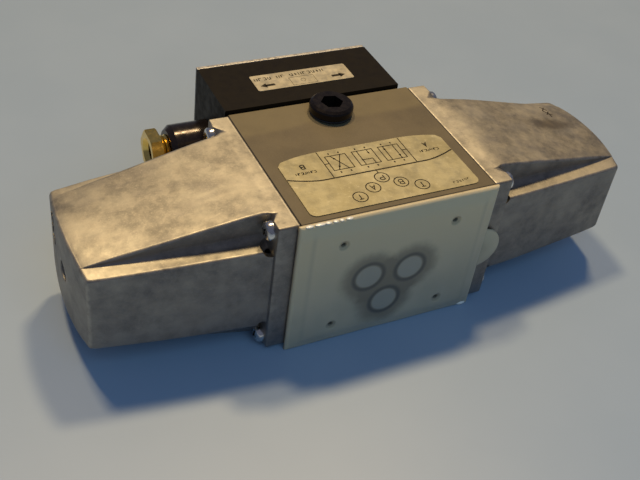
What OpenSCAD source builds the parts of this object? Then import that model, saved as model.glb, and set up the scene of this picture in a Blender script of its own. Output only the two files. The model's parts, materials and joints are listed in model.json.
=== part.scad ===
// Double-solenoid, spring-centred directional control valve, lying on its side.
// Millimetres. Origin: centre of the mounting bolt pattern on the mounting face.
// +X points to solenoid A, +Y from the mounting face into the valve, +Z up.

/* [Valve body] */
// Length of the body along the spool
body_w = 92; // [91:0.5:93]
// Height of the body above its mounting face
body_d = 81; // [80:0.5:82]
// Top side of the body above the pattern centre
body_top = 36; // [35.5:0.5:37]
// Bottom side of the body below the pattern centre
body_bottom = 34; // [34:0.5:35]
// Chamfer along the long edges of the body
body_chamfer = 0.7; // [0.3:0.1:1]

/* [Mounting pattern] */
// Bolt spacing along X
bolt_dx = 54; // [54:0.1:54.2]
// Bolt spacing along Z
bolt_dz = 46; // [45.8:0.1:46]
// Radius of the bolt holes
bolt_r = 3.3; // [3.2:0.05:3.4]
// Radius of the bolt head counterbores
bolt_head_r = 5.5; // [5.3:0.1:5.7]
// Depth at which the counterbores start
bolt_shoulder = 36; // [30:1:38]
// Radius of the fluid ports
port_r = 5.6; // [5:0.1:5.8]
// Radius of the seal seats round the ports
seat_r = 8; // [7.9:0.05:8]
// Depth of the seal seats
seat_depth = 1.35; // [1.3:0.05:1.4]

/* [Spool and solenoids] */
// Distance of the spool axis from the mounting face
axis_y = 40; // [39.5:0.5:40.5]
// Height of the spool axis
axis_z = 1.5; // [1:0.5:2]
// Radius of the spool bore
spool_bore_r = 9; // [8.8:0.05:9.1]
// Radial clearance of the spool in its bore
spool_clearance = 0.03; // [0.02:0.01:0.05]
// Travel of the spool to each side
stroke = 4; // [3.5:0.5:4]
// Radius of the push pins
push_pin_r = 2.5; // [2.3:0.1:2.5]
// Radius of the armatures
armature_r = 10.4; // [10.2:0.05:10.5]
// Outer radius of the core tubes
tube_r = 12.5; // [12.4:0.05:12.6]
// Outer radius of the coil windings
winding_r = 20; // [19:0.5:20.4]

/* [Solenoid covers] */
// Thickness of the gaskets under the covers
gasket_t = 0.4; // [0.3:0.1:0.6]
// Distance from the middle of the valve to the flange fronts
flange_x = 55.8; // [55:0.2:56]
// Distance from the middle of the valve to the corners of the end faces
cover_end = 129.5; // [129:0.5:131]
// Swell of the end faces
end_bulge = 2.5; // [1:0.5:3]
// Half width of the tall block at the flange
tall_y0 = 28.3; // [28:0.1:28.6]
// Half width of the tall block at the end
tall_y1 = 22.5; // [22:0.5:24]
// Half width of the wide block at the flange
wide_y0 = 37; // [36.5:0.1:37.2]
// Half width of the wide block at the end
wide_y1 = 29.3; // [28.5:0.1:30]
// Half height of the wide block at the flange
wide_z0 = 21.3; // [21:0.1:21.6]
// Half height of both blocks at the end
cover_z1 = 19; // [18.5:0.5:20]
// Outward curve of the cover's sides
side_crown = 0.9; // [0.2:0.1:1.2]
// Wall thickness of the covers
cover_wall = 2.9; // [2.6:0.1:3]
// Radius of the hole over the manual override
override_hole_r = 4.5; // [4.3:0.1:5]

/* [Terminal box] */
// Left side of the box
box_left = -47; // [-47.5:0.5:-46.5]
// Right side of the box
box_right = 42.3; // [42:0.1:43]
// Back of the box, without its lid
box_back = 118.3; // [117:0.1:120]
// Top of the box
box_top = 37.2; // [37:0.1:38]
// Wall thickness of the box
box_wall = 2.3; // [2:0.1:2.6]
// Thickness of the lid
lid_t = 2; // [1.5:0.1:2.5]

/* [Conduit fittings] */
// Depth of the conduit axis from the mounting face
conduit_y = 101; // [100:0.5:102]
// Height of the conduit axis
conduit_z = 7; // [6:0.5:8]
// Outer radius of the adapter
adapter_r = 11.5; // [11:0.1:12]
// Across flats of the bushing's hexagon
bushing_af = 19; // [18:0.5:20]
// Radius of the cable bore
cable_r = 5.2; // [4.5:0.1:5.5]

/* [Shipping cover] */
// Half width of the cover
ship_half_w = 47.5; // [47:0.1:48]
// Thickness of the plate at its flat middle
ship_rise = 3.2; // [3.1:0.1:3.5]
// Width of the sloping border
ship_slope = 7; // [6:0.5:8]
// Radius of the pull tab
tab_r = 10.8; // [9:0.2:12]

/* [Hidden] */
$fn = 64;

eps = 0.01;
end_x = body_w / 2;

// Spool train, as distances from the middle of the valve
land_ends = [8.5, 17.5];
end_land_x = 28;
neck_r = 6;
spool_end = 37.2;
seat_t = 1.8;
spring_seat_r = 10.5;
chamber_w = 7;
chamber_r = 13;
chamber_pitch = 13;
end_chamber_x = 33;
pocket_r = 11;
pole_start = 36;
pocket_end = 53;
pole_end = 64;
pole_flange_r = 17;
pole_flange_t = 3.4;
spigot_r = 12.97;
armature_len = 30;
armature_x = pole_end + stroke + 0.5;
armature_gap = 0.12;
tube_start = 56;
plug_x = 109;
neck_x = 114;
tube_end = 124;
tube_neck_r = 6.5;
override_r = 2.5;
override_head_r = 4;
override_push = 3.5;
override_x = armature_x + armature_len + stroke + override_push + 0.3;
override_head_t = 2.5;
override_end = 131;

// Coil, as distances from the middle of the valve
yoke_x = 54;
yoke_t = 3;
yoke_r = 23;
yoke_wall = 2.2;
yoke_end = 90;
yoke_cap_t = 2.3;
nut_x = 92.6;
nut_t = 8;
nut_af = 28;

// Seals and screws
seal_minor = 0.89;
seal_play = 0.04;
tube_seal_minor = 0.85;
tube_seal_major = 14.3;
tube_seat_r = 15.3;
screw_dy = 33.5;
screw_dz = 29;
screw_mid_z = 2;
screw_r = 2.5;
screw_head_r = 4.2;
screw_head_t = 3.4;
screw_tip = 36;
relief_r = 5;
relief_depth = 3.9;
relief_dy = 34.5;
relief_dz = 23;
clearance = 0.3;
self_tap_r = 1.5;
lid_hole_r = 1.9;
box_tap_r = 2;
box_hole_r = 2.2;

// Fluid ports, as [x, z] on the mounting face
port_p = [0, -16.7];
port_a = [-10.3, -1.6];
port_b = [10.3, -1.6];
port_t = [23.8, 9.5];
ports = [port_p, port_a, port_b, port_t, [-port_t.x, port_t.y]];
pressure_depth = 40;
work_depth = 29;
tank_depth = 30.5;
gallery_half = 9.5;

// Wires
wire_hole_r = 4;
wire_y = 71;
wire_x = 35.5;
wire_overrun = 3;
lead_r = 1.1;
lead_gap = 1.5;
lead_start_dy = 17.5;
lead_turn_x = 51;
lead_exit_r = 2.6;
clamp_y = 97;

// Plug
plug_y = 70;
plug_r = 10.2;
plug_h = 6;
plug_shank_r = 8;
plug_bottom = 22;
bridge_r = 3.2;
bridge_overlap = 3;
plug_socket_r = 5.3;
plug_socket_depth = 5;
plug_turn = -12;
plug_seal_minor = 0.8;

// Nameplate and label
plate_t = 0.4;
plate_half_w = 40.3;
plate_front = 3.2;
plate_side_y = 39.6;
plate_mid_y = 43;
plate_flat_half = 20;
plate_corner = 3;
plate_back_corner = 2;
label_t = 0.25;
label_left = -26;
label_right = 24;
label_front = 93;
label_back = 106;

// Terminal box
box_front = 82;
box_bottom = -body_bottom;
box_mid_x = (box_left + box_right) / 2;
box_seal_edge = 1.2;
box_seal_rim = 3;
box_window = 7.5;
lid_seal_t = 0.5;
lid_back = box_back + lid_seal_t + lid_t;
lid_screw_x = 38;
lid_screw_z = 28;
lid_boss_r = 4.5;
box_screw_x = 34;
box_screw_z = 12;
block_left = -20;
block_right = 20;
block_y = 90;
block_back = 102;
block_z = -24;
block_top = -12;
terminal_pitch = 8;

// Conduit fittings, as distances along X
adapter_front = -67.4;
adapter_chamfer = 2.4;
adapter_shank_r = 9;
adapter_tail = -37;
locknut_t = 4;
locknut_af = 24;
thread_r = 7.4;
thread_end = -58;
thread_pitch = 1.5;
thread_depth = 0.6;
hex_front = -77;
hex_back = -71.4;
hex_face_r = bushing_af / 2 + 0.8;
entry_r = 7;
entry_depth = 2.2;

// Shipping cover
ship_gap = 0.05;
ship_rim = 1.8;
ship_recess = 0.75;
ship_lip = 3;
dimple_r = 2.2;
dimple_tip_r = 0.9;
dimple_depth = 1.5;
peg_tip = 0.9;
lead_in = 1.1;
tab_x = 45.3;
tab_z = 0.8;
tab_t = 1.3;
tab_y = -1.9;

// ---------------------------------------------------------------- helpers

// Cylinder along X on the spool axis
module along_x(x0, x1, r)
    translate([x0, axis_y, axis_z])
        rotate([0, 90, 0])
            cylinder(h = x1 - x0, r = r);

// Cylinder along X on any axis
module along_x_at(x0, x1, r, y, z)
    translate([x0, y, z])
        rotate([0, 90, 0])
            cylinder(h = x1 - x0, r = r);

// Cylinder or cone along Y
module along_y(y0, y1, r, x, z, r2 = -1)
    translate([x, y0, z])
        rotate([-90, 0, 0])
            cylinder(h = y1 - y0, r1 = r, r2 = r2 < 0 ? r : r2);

// Ring along X on the spool axis
module ring_x(x0, x1, r_out, r_in)
    difference() {
        along_x(x0, x1, r_out);
        along_x(x0 - 1, x1 + 1, r_in);
    }

// Torus round the spool axis
module torus_x(x, major, minor)
    translate([x, axis_y, axis_z])
        rotate([0, 90, 0])
            rotate_extrude()
                translate([major, 0])
                    circle(r = minor, $fn = 24);

// Outline in X and Y, drawn out along Z
module prism_z(z0, z1)
    translate([0, 0, z0])
        linear_extrude(z1 - z0)
            children();

// Outline in X and Z, drawn out along Y
module prism_y(y0, y1)
    translate([0, y1, 0])
        rotate([90, 0, 0])
            linear_extrude(y1 - y0)
                children();

// Outline in Y and Z, drawn out along X
module prism_x(x0, x1)
    translate([x0, 0, 0])
        rotate([90, 0, 90])
            linear_extrude(x1 - x0)
                children();

// Rectangle from two corners
module span(low, high)
    translate(low)
        square(high - low);

// Hexagon across flats, along X
module hex_x(x0, x1, af, y, z)
    translate([x0, y, z])
        rotate([0, 90, 0])
            rotate([0, 0, 90])
                cylinder(h = x1 - x0, r = af / sqrt(3), $fn = 6);

// The right-hand side as drawn, or the left-hand side as its mirror image
module side(s)
    if (s > 0)
        children();
    else
        mirror([1, 0, 0])
            children();

// Places children at the four mounting bolts
module at_bolts()
    for (x = [-1, 1], z = [-1, 1])
        translate([x * bolt_dx / 2, 0, z * bolt_dz / 2])
            children();

// Places children at the four screws of one cover
module at_cover_screws()
    for (y = [-1, 1], z = [-1, 1])
        translate([0, axis_y + y * screw_dy, screw_mid_z + z * screw_dz])
            children();

// Places children at the corner screws of the box lid
module at_lid_screws()
    for (x = [-1, 1], z = [-1, 1])
        translate([box_mid_x + x * lid_screw_x, 0, axis_z + z * lid_screw_z])
            children();

// Places children at the screws that hold the box to the body
module at_box_screws()
    for (x = [-1, 1], z = [-1, 1])
        translate([x * box_screw_x, 0, axis_z + z * box_screw_z])
            children();

// Screw along -X with a domed head and a cross recess, seated at x = 0
module pan_screw(length, r, head_r, head_t)
    difference() {
        union() {
            rotate([0, 90, 0])
                rotate_extrude()
                    polygon(pan_profile(head_r, head_t));
            rotate([0, -90, 0])
                cylinder(h = length, r = r);
        }
        for (turn = [0, 90])
            translate([head_t, 0, 0])
                rotate([turn + 20, 0, 0])
                    cube([head_t, head_r, head_r * 0.24], center = true);
    }

// Half section of a pan head: straight rim, then an elliptic dome
function pan_profile(r, t) =
    concat([[0, 0], [r, 0], [r, t * 0.45]],
           [for (i = [1 : 7])
               let (a = 90 * i / 7)
               [r * (0.45 + 0.55 * cos(a)), t * (0.45 + 0.55 * sin(a))]],
           [[0, t]]);

// ---------------------------------------------------------------- body

module body_outline()
    polygon([[0, -body_bottom], [body_d, -body_bottom], [body_d, body_top], [0, body_top]]);

module valve_body()
    color([0.41, 0.35, 0.25])
        difference() {
            body_block();
            spool_cavities();
            port_drillings();
            bolt_holes();
            tank_bridge();
            for (s = [-1, 1])
                side(s) {
                    wire_passage();
                    at_cover_screws()
                        along_x_at(screw_tip - 1, end_x + 1, screw_r, 0, 0);
                }
            translate([0, plug_y, plug_bottom])
                cylinder(h = body_top, r = plug_shank_r + 0.05);
            at_box_screws()
                along_y(body_d - 14, body_d + 1, box_tap_r, 0, 0);
        }

// Bar stock with small chamfers along its four long edges
module body_block()
    intersection() {
        prism_x(-end_x, end_x)
            body_outline();
        prism_x(-end_x, end_x)
            polygon(chamfered(0, -body_bottom, body_d, body_top, body_chamfer));
    }

// Rectangle with its corners cut off
function chamfered(x0, y0, x1, y1, c) = [
    [x0 + c, y0], [x1 - c, y0], [x1, y0 + c], [x1, y1 - c],
    [x1 - c, y1], [x0 + c, y1], [x0, y1 - c], [x0, y0 + c]
];

// Spool bore, five ring chambers, two end chambers and the seats of the tube seals
module spool_cavities() {
    along_x(-end_x - 1, end_x + 1, spool_bore_r);
    for (i = [-2 : 2])
        along_x(i * chamber_pitch - chamber_w / 2, i * chamber_pitch + chamber_w / 2, chamber_r);
    for (s = [-1, 1])
        side(s) {
            along_x(end_chamber_x, end_x + 1, chamber_r);
            along_x(end_x - 2 * tube_seal_minor, end_x + 1, tube_seat_r);
        }
}

// Drillings from the mounting face into the chambers
module port_drillings() {
    along_y(-1, pressure_depth, port_r, port_p.x, port_p.y);
    translate([-chamber_w / 2, axis_y - gallery_half, port_p.y - port_r + 1])
        cube([chamber_w, 2 * gallery_half, axis_z - port_p.y + port_r - 2]);
    for (p = [port_a, port_b])
        along_y(-1, work_depth, port_r, p.x, p.y);
    for (s = [-1, 1])
        along_y(-1, tank_depth, port_r, s * port_t.x, port_t.y);
    for (p = ports)
        along_y(-1, seat_depth, seat_r, p.x, p.y);
}

// Through holes with a lead-in at the face and deep counterbores for the heads
module bolt_holes()
    at_bolts() {
        along_y(-1, body_d + 1, bolt_r, 0, 0);
        along_y(bolt_shoulder, body_d + 1, bolt_head_r, 0, 0);
        along_y(-eps, lead_in, bolt_r + lead_in, 0, 0, bolt_r);
    }

// Cored passage that joins both tank chambers behind the spool, closed by the plug
module tank_bridge() {
    tank_x = 2 * chamber_pitch;
    for (s = [-1, 1])
        translate([s * tank_x - chamber_w / 2, axis_y + chamber_r - bridge_overlap,
                   axis_z - chamber_w / 2])
            cube([chamber_w, plug_y - axis_y - chamber_r + bridge_overlap, chamber_w]);
    translate([-tank_x - chamber_w / 2, plug_y - chamber_w / 2 - 0.5, axis_z - chamber_w / 2])
        cube([2 * tank_x + chamber_w, chamber_w, chamber_w]);
    translate([0, plug_y, axis_z])
        cylinder(h = plug_bottom, r = bridge_r);
}

// Drilling from the end face that turns back to the terminal box
module wire_passage() {
    along_x_at(wire_x - wire_overrun, end_x + 1, wire_hole_r, wire_y, axis_z);
    along_y(wire_y - wire_overrun, body_d + 1, wire_hole_r - 0.3, wire_x, axis_z);
}

// ---------------------------------------------------------------- spool train

module spool()
    color([0.72, 0.73, 0.75])
        union() {
            along_x(-spool_end, spool_end, neck_r);
            for (s = [-1, 1])
                side(s) {
                    grooved_land(land_ends[0], land_ends[1]);
                    grooved_land(end_land_x, spool_end);
                }
        }

// Land with two shallow pressure-balancing grooves
module grooved_land(x0, x1) {
    land_r = spool_bore_r - spool_clearance;
    groove_w = 0.6;
    pitch = (x1 - x0) / 3;
    difference() {
        along_x(x0, x1, land_r);
        for (i = [1 : 2])
            ring_x(x0 + i * pitch - groove_w / 2, x0 + i * pitch + groove_w / 2,
                   land_r + 1, land_r - 0.4);
    }
}

module spring_seat(s)
    color([0.62, 0.62, 0.64])
        side(s)
            ring_x(spool_end, spool_end + seat_t, spring_seat_r, push_pin_r + 0.7);

// Coil spring: a round wire swept along a helix with closed ends
spring_turns = 4.5;
spring_sides = 8;
spring_rings_per_turn = 16;
spring_wire_r = 0.9;
spring_coil_r = 8.2;
spring_x0 = spool_end + seat_t + spring_wire_r + 0.02;
spring_x1 = pocket_end - spring_wire_r - 0.02;

function spring_station(t) =
    let (closed = 0.75 / spring_turns,
         pitch_x = 2 * spring_wire_r * 1.02 * closed * spring_turns)
    t < closed ? spring_x0 + pitch_x * t / closed
    : t > 1 - closed ? spring_x1 - pitch_x * (1 - t) / closed
    : spring_x0 + pitch_x
        + (spring_x1 - spring_x0 - 2 * pitch_x) * (t - closed) / (1 - 2 * closed);

function spring_point(t, k) =
    let (a = 360 * spring_turns * t,
         b = 360 * k / spring_sides,
         r = spring_coil_r + spring_wire_r * cos(b))
    [spring_station(t) + spring_wire_r * sin(b), axis_y + r * cos(a), axis_z + r * sin(a)];

module centring_spring(s) {
    rings = spring_turns * spring_rings_per_turn;
    n = spring_sides;
    points = [for (i = [0 : rings], k = [0 : n - 1]) spring_point(i / rings, k)];
    skin = [for (i = [0 : rings - 1], k = [0 : n - 1])
        [i * n + k, i * n + (k + 1) % n, (i + 1) * n + (k + 1) % n, (i + 1) * n + k]];
    caps = [[for (k = [n - 1 : -1 : 0]) k], [for (k = [0 : n - 1]) rings * n + k]];
    color([0.5, 0.5, 0.52])
        side(s)
            polyhedron(points, concat(skin, caps), convexity = 8);
}

module push_pin(s)
    color([0.75, 0.75, 0.77])
        side(s)
            along_x(spool_end + 0.05, armature_x + 4, push_pin_r);

module armature(s)
    color([0.45, 0.46, 0.48])
        side(s)
            difference() {
                along_x(armature_x, armature_x + armature_len, armature_r);
                along_x(armature_x - 1, armature_x + 4, push_pin_r);
                for (turn = [0 : 90 : 270])
                    translate([armature_x - 1, axis_y, axis_z])
                        rotate([turn, 0, 0])
                            translate([0, 7, 0])
                                rotate([0, 90, 0])
                                    cylinder(h = armature_len + 2, r = 1.2);
            }

// Fixed pole with the spring pocket, the seal flange and the push pin's guide
module pole_piece(s)
    color([0.55, 0.55, 0.57])
        side(s)
            difference() {
                union() {
                    along_x(pole_start, tube_start, spigot_r);
                    along_x(end_x, end_x + pole_flange_t, pole_flange_r);
                    along_x(tube_start - 1, pole_end, armature_r + armature_gap - 0.03);
                }
                along_x(pole_start - 1, pocket_end, pocket_r);
                along_x(pocket_end - 1, pole_end + 1, push_pin_r + 0.05);
            }

// Tube that holds the armature in oil, closed by an end plug with a guide neck
module core_tube(s)
    color([0.66, 0.66, 0.68])
        side(s)
            difference() {
                union() {
                    along_x(tube_start, neck_x, tube_r);
                    along_x(neck_x - 1, tube_end, tube_neck_r);
                }
                along_x(tube_start - 1, plug_x, armature_r + armature_gap);
                along_x(plug_x - 1, tube_end + 1, override_r + 0.05);
                along_x(tube_end - 4, tube_end - 2.5, override_r + 1.45);
            }

module tube_seal(s)
    color([0.09, 0.09, 0.1])
        side(s)
            torus_x(end_x - tube_seal_minor, tube_seal_major, tube_seal_minor);

module override_pin(s)
    color([0.78, 0.76, 0.7])
        side(s) {
            along_x(override_x, override_end, override_r);
            along_x(override_x, override_x + override_head_t, override_head_r);
        }

module override_seal(s)
    color([0.09, 0.09, 0.1])
        side(s)
            torus_x(tube_end - 3.25, override_r + 0.73, 0.7);

// ---------------------------------------------------------------- coils

module coil_bobbin(s)
    color([0.13, 0.13, 0.14])
        side(s) {
            ring_x(yoke_x + yoke_t, yoke_end, tube_r + 1.5, tube_r + 0.1);
            for (x = [yoke_x + yoke_t, yoke_end - 2])
                ring_x(x, x + 2, yoke_r - yoke_wall - 0.2, tube_r + 0.1);
        }

module coil_winding(s)
    color([0.62, 0.33, 0.16])
        side(s)
            ring_x(yoke_x + yoke_t + 2, yoke_end - 2, winding_r, tube_r + 1.5);

// Magnet iron round the coil: a can with its closed end towards the body
module coil_yoke(s)
    color([0.3, 0.31, 0.33])
        side(s)
            difference() {
                along_x(yoke_x, yoke_end, yoke_r);
                along_x(yoke_x + yoke_t, yoke_end + 1, yoke_r - yoke_wall);
                along_x(yoke_x - 1, yoke_x + yoke_t + 1, spigot_r + 0.1);
                along_x_at(yoke_x - 1, yoke_x + yoke_t + 1, lead_exit_r,
                           axis_y + lead_start_dy, axis_z);
            }

module yoke_cap(s)
    color([0.34, 0.35, 0.37])
        side(s)
            ring_x(yoke_end, yoke_end + yoke_cap_t, yoke_r, tube_r + 0.1);

module coil_nut(s)
    color([0.7, 0.68, 0.6])
        side(s)
            difference() {
                hex_x(nut_x, nut_x + nut_t, nut_af, axis_y, axis_z);
                along_x(nut_x - 1, nut_x + nut_t + 1, tube_r + 0.02);
            }

// Two insulated wires from the coil through the body to the terminals
module coil_leads(s) {
    start_y = axis_y + lead_start_dy;
    for (k = [-1, 1]) {
        z = axis_z + k * lead_gap;
        clamp_x = terminal_pitch * (1.5 + k / 2);
        color(k < 0 ? [0.8, 0.8, 0.78] : [0.15, 0.15, 0.16])
            side(s) {
                along_x_at(lead_turn_x, yoke_x + yoke_t - 0.5, lead_r, start_y, z);
                bend(lead_turn_x, start_y, z);
                along_y(start_y, wire_y, lead_r, lead_turn_x, z);
                bend(lead_turn_x, wire_y, z);
                along_x_at(wire_x, lead_turn_x, lead_r, wire_y, z);
                bend(wire_x, wire_y, z);
                along_y(wire_y, clamp_y, lead_r, wire_x, z);
                bend(wire_x, clamp_y, z);
                along_x_at(clamp_x, wire_x, lead_r, clamp_y, z);
                bend(clamp_x, clamp_y, z);
                translate([clamp_x, clamp_y, block_top])
                    cylinder(h = z - block_top, r = lead_r);
            }
    }
}

module bend(x, y, z)
    translate([x, y, z])
        sphere(r = lead_r, $fn = 24);

// ---------------------------------------------------------------- covers

outline_steps = 8;
flange_front = 0.5;
flange_back = 80;
flange_drop = 31.5;

function taper(a, b, t) = a + (b - a) * t + side_crown * 4 * t * (1 - t);
function station(t) = flange_x + (cover_end - flange_x) * t;

// Plan of a block: two crowned sides that narrow to a swollen end
function plan_outline(half0, half1, inset) = concat(
    [[end_x, axis_y + half0 - inset]],
    [for (i = [0 : outline_steps])
        let (t = i / outline_steps)
        [station(t) - (i == outline_steps ? inset : 0), axis_y + taper(half0, half1, t) - inset]],
    [for (i = [1 : outline_steps - 1])
        let (y = half1 * (1 - 2 * i / outline_steps))
        [cover_end + end_bulge * (1 - pow(y / wide_y1, 2)) - inset, axis_y + y]],
    [for (i = [outline_steps : -1 : 0])
        let (t = i / outline_steps)
        [station(t) - (i == outline_steps ? inset : 0), axis_y - taper(half0, half1, t) + inset]],
    [[end_x, axis_y - half0 + inset]]);

// Side view of a block: crowned top and bottom that narrow to the end
function side_outline(top0, bottom0, inset) = concat(
    [[end_x, axis_z + top0 - inset]],
    [for (i = [0 : outline_steps])
        let (t = i / outline_steps)
        [station(t), axis_z + taper(top0, cover_z1, t) - inset]],
    [[cover_end + 5, axis_z + cover_z1 - inset], [cover_end + 5, axis_z - cover_z1 + inset]],
    [for (i = [outline_steps : -1 : 0])
        let (t = i / outline_steps)
        [station(t), axis_z - taper(bottom0, cover_z1, t) + inset]],
    [[end_x, axis_z - bottom0 + inset]]);

module tapered_block(half0, half1, top0, bottom0, inset)
    intersection() {
        prism_z(-body_bottom - 5, body_top + 5)
            polygon(plan_outline(half0, half1, inset));
        prism_y(-5, body_d + 5)
            polygon(side_outline(top0, bottom0, inset));
    }

// Two tapered blocks that cross: one tall and narrow, one wide and low
module crossed_blocks(inset) {
    tapered_block(tall_y0, tall_y1, body_top - axis_z, flange_drop + axis_z, inset);
    tapered_block(wide_y0, wide_y1, wide_z0, wide_z0, inset);
}

// Outline of the cover's flange and of its gasket
module flange_outline()
    polygon(chamfered(flange_front, -flange_drop, flange_back, body_top, 1));

module solenoid_cover(s)
    color([0.62, 0.58, 0.5])
        side(s)
            difference() {
                union() {
                    prism_x(end_x + gasket_t, flange_x)
                        flange_outline();
                    intersection() {
                        crossed_blocks(0);
                        prism_x(end_x + gasket_t, cover_end + 10)
                            span([-5, -50], [body_d + 5, 50]);
                    }
                }
                crossed_blocks(cover_wall);
                at_cover_screws()
                    along_x_at(end_x, flange_x + 1, screw_r + clearance, 0, 0);
                for (y = [-1, 1], z = [-1, 1])
                    along_x_at(flange_x, flange_x + relief_depth, relief_r,
                               axis_y + y * relief_dy, axis_z + z * relief_dz);
                along_x(cover_end - 10, cover_end + 10, override_hole_r);
            }

module cover_gasket(s)
    color([0.2, 0.2, 0.2])
        side(s)
            difference() {
                prism_x(end_x, end_x + gasket_t)
                    flange_outline();
                along_x(end_x - 1, end_x + 2, 24);
                at_cover_screws()
                    along_x_at(end_x - 1, end_x + 2, screw_r + clearance, 0, 0);
                along_x_at(end_x - 1, end_x + 2, wire_hole_r, wire_y, axis_z);
            }

module cover_screws(s)
    color([0.8, 0.8, 0.8])
        side(s)
            at_cover_screws()
                translate([flange_x, 0, 0])
                    pan_screw(flange_x - screw_tip, screw_r - 0.02, screw_head_r, screw_head_t);

// ---------------------------------------------------------------- plug, seals, plates

module port_seals()
    color([0.08, 0.08, 0.09])
        for (p = ports)
            translate([p.x, seat_depth - seal_minor - seal_play, p.y])
                rotate([-90, 0, 0])
                    rotate_extrude()
                        translate([seat_r - seal_minor - seal_play, 0])
                            circle(r = seal_minor, $fn = 24);

module hex_socket_plug()
    color([0.07, 0.06, 0.06])
        translate([0, plug_y, body_top])
            difference() {
                union() {
                    rotate_extrude()
                        polygon([[0, 0], [plug_shank_r + 0.6, 0], [plug_shank_r + 0.6, 1.4],
                                 [plug_r - 0.3, 1.4], [plug_r, 1.8], [plug_r, plug_h - 1.6],
                                 [plug_r - 0.4, plug_h - 0.8], [plug_r - 1.5, plug_h],
                                 [0, plug_h]]);
                    translate([0, 0, plug_bottom - body_top + 1])
                        cylinder(h = body_top - plug_bottom, r = plug_shank_r);
                }
                translate([0, 0, plug_h - plug_socket_depth])
                    rotate([0, 0, plug_turn])
                        cylinder(h = plug_h, r = plug_socket_r, $fn = 6);
            }

module plug_seal()
    color([0.1, 0.1, 0.1])
        translate([0, plug_y, body_top + plug_seal_minor * 0.86])
            rotate_extrude()
                translate([plug_shank_r + 0.62 + plug_seal_minor * 0.86, 0])
                    circle(r = plug_seal_minor * 0.84, $fn = 20);

// Quarter arc of a rounded corner
function corner(cx, cy, r, a0) =
    [for (i = [0 : 4]) let (a = a0 + 22.5 * i) [cx + r * cos(a), cy + r * sin(a)]];

// Back edge of the nameplate: flat in the middle, falling away to both sides
function plate_back(x) =
    let (u = max(0, abs(x) - plate_flat_half) / (plate_half_w - plate_flat_half))
    plate_mid_y - (plate_mid_y - plate_side_y) * u * u;

module nameplate_outline() {
    steps = 24;
    polygon(concat(
        corner(-plate_half_w + plate_corner, plate_front + plate_corner, plate_corner, 180),
        corner(plate_half_w - plate_corner, plate_front + plate_corner, plate_corner, 270),
        [[plate_half_w, plate_side_y - plate_back_corner]],
        [for (i = [0 : steps])
            let (x = (plate_half_w - plate_back_corner) * (1 - 2 * i / steps))
            [x, plate_back(x)]],
        [[-plate_half_w, plate_side_y - plate_back_corner]]));
}

module nameplate()
    color([0.72, 0.64, 0.4])
        prism_z(body_top, body_top + plate_t)
            nameplate_outline();

// ---------------------------------------------------------------- terminal box

module terminal_box()
    color([0.1, 0.09, 0.08])
        difference() {
            union() {
                difference() {
                    box_block(0, box_front, box_back);
                    box_block(box_wall, box_front + box_wall, box_back + 1);
                }
                at_lid_screws()
                    along_y(box_front + 1, box_back, lid_boss_r, 0, 0);
            }
            at_lid_screws()
                along_y(box_back - 12, box_back + 1, self_tap_r, 0, 0);
            at_bolts()
                along_y(box_front - 1, box_front + box_wall + 1, bolt_head_r + 0.1, 0, 0);
            at_box_screws()
                along_y(box_front - 1, box_front + box_wall + 1, box_hole_r, 0, 0);
            for (s = [-1, 1])
                along_y(box_front - 1, box_front + box_wall + 1, wire_hole_r,
                        s * wire_x, axis_z);
            along_x_at(box_left - 1, box_left + box_wall + 1, adapter_shank_r + 0.05,
                       conduit_y, conduit_z);
        }

// Block over the box's outline, drawn in by an inset
module box_block(inset, y0, y1)
    prism_y(y0, y1)
        span([box_left + inset, box_bottom + inset], [box_right - inset, box_top - inset]);

module box_gasket()
    color([0.03, 0.03, 0.03])
        difference() {
            prism_y(body_d, box_front)
                span([-end_x + box_seal_edge, -body_bottom + box_seal_edge],
                     [box_right - box_seal_edge, body_top - box_seal_edge]);
            prism_y(body_d - 1, box_front + 1)
                span([-wire_x - box_window, axis_z - box_window],
                     [box_right - box_seal_rim, axis_z + box_window]);
            at_bolts()
                along_y(body_d - 1, box_front + 1, bolt_head_r + 0.1, 0, 0);
            at_box_screws()
                along_y(body_d - 1, box_front + 1, box_hole_r, 0, 0);
        }

module box_lid()
    color([0.55, 0.55, 0.55])
        difference() {
            box_block(0, box_back + lid_seal_t, lid_back);
            at_lid_screws()
                along_y(box_back, lid_back + 1, lid_hole_r, 0, 0);
        }

module lid_gasket()
    color([0.12, 0.12, 0.12])
        difference() {
            box_block(0.2, box_back, box_back + lid_seal_t);
            difference() {
                box_block(box_wall, box_back - 1, box_back + 2);
                at_lid_screws()
                    along_y(box_back - 2, box_back + 3, lid_boss_r, 0, 0);
            }
            at_lid_screws()
                along_y(box_back - 1, box_back + 2, lid_hole_r, 0, 0);
        }

module lid_screws()
    color([0.75, 0.75, 0.75])
        at_lid_screws()
            translate([0, lid_back, 0])
                rotate([0, 0, 90])
                    pan_screw(11, self_tap_r - 0.02, 3, 2.2);

module box_screws()
    color([0.75, 0.75, 0.75])
        at_box_screws()
            translate([0, box_front + box_wall, 0])
                rotate([0, 0, 90])
                    pan_screw(15, box_tap_r - 0.02, 3.6, 2.6);

// Moulded strip with a row of screw terminals
module terminal_block()
    color([0.85, 0.83, 0.75])
        difference() {
            translate([block_left, box_front + box_wall, block_z])
                cube([block_right - block_left, block_back - box_front - box_wall,
                      block_top - block_z]);
            for (i = [0 : 3])
                translate([block_left + terminal_pitch * (i + 1) - 0.5, block_y, block_z - 1])
                    cube([1, block_back, block_top - block_z + 2]);
            at_terminals()
                along_y(block_y - 2, block_back + 1, 1.6, 0, 0);
        }

module at_terminals()
    for (i = [0 : 4])
        translate([block_left + terminal_pitch * (i + 0.5), 0, (block_z + block_top) / 2])
            children();

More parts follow.
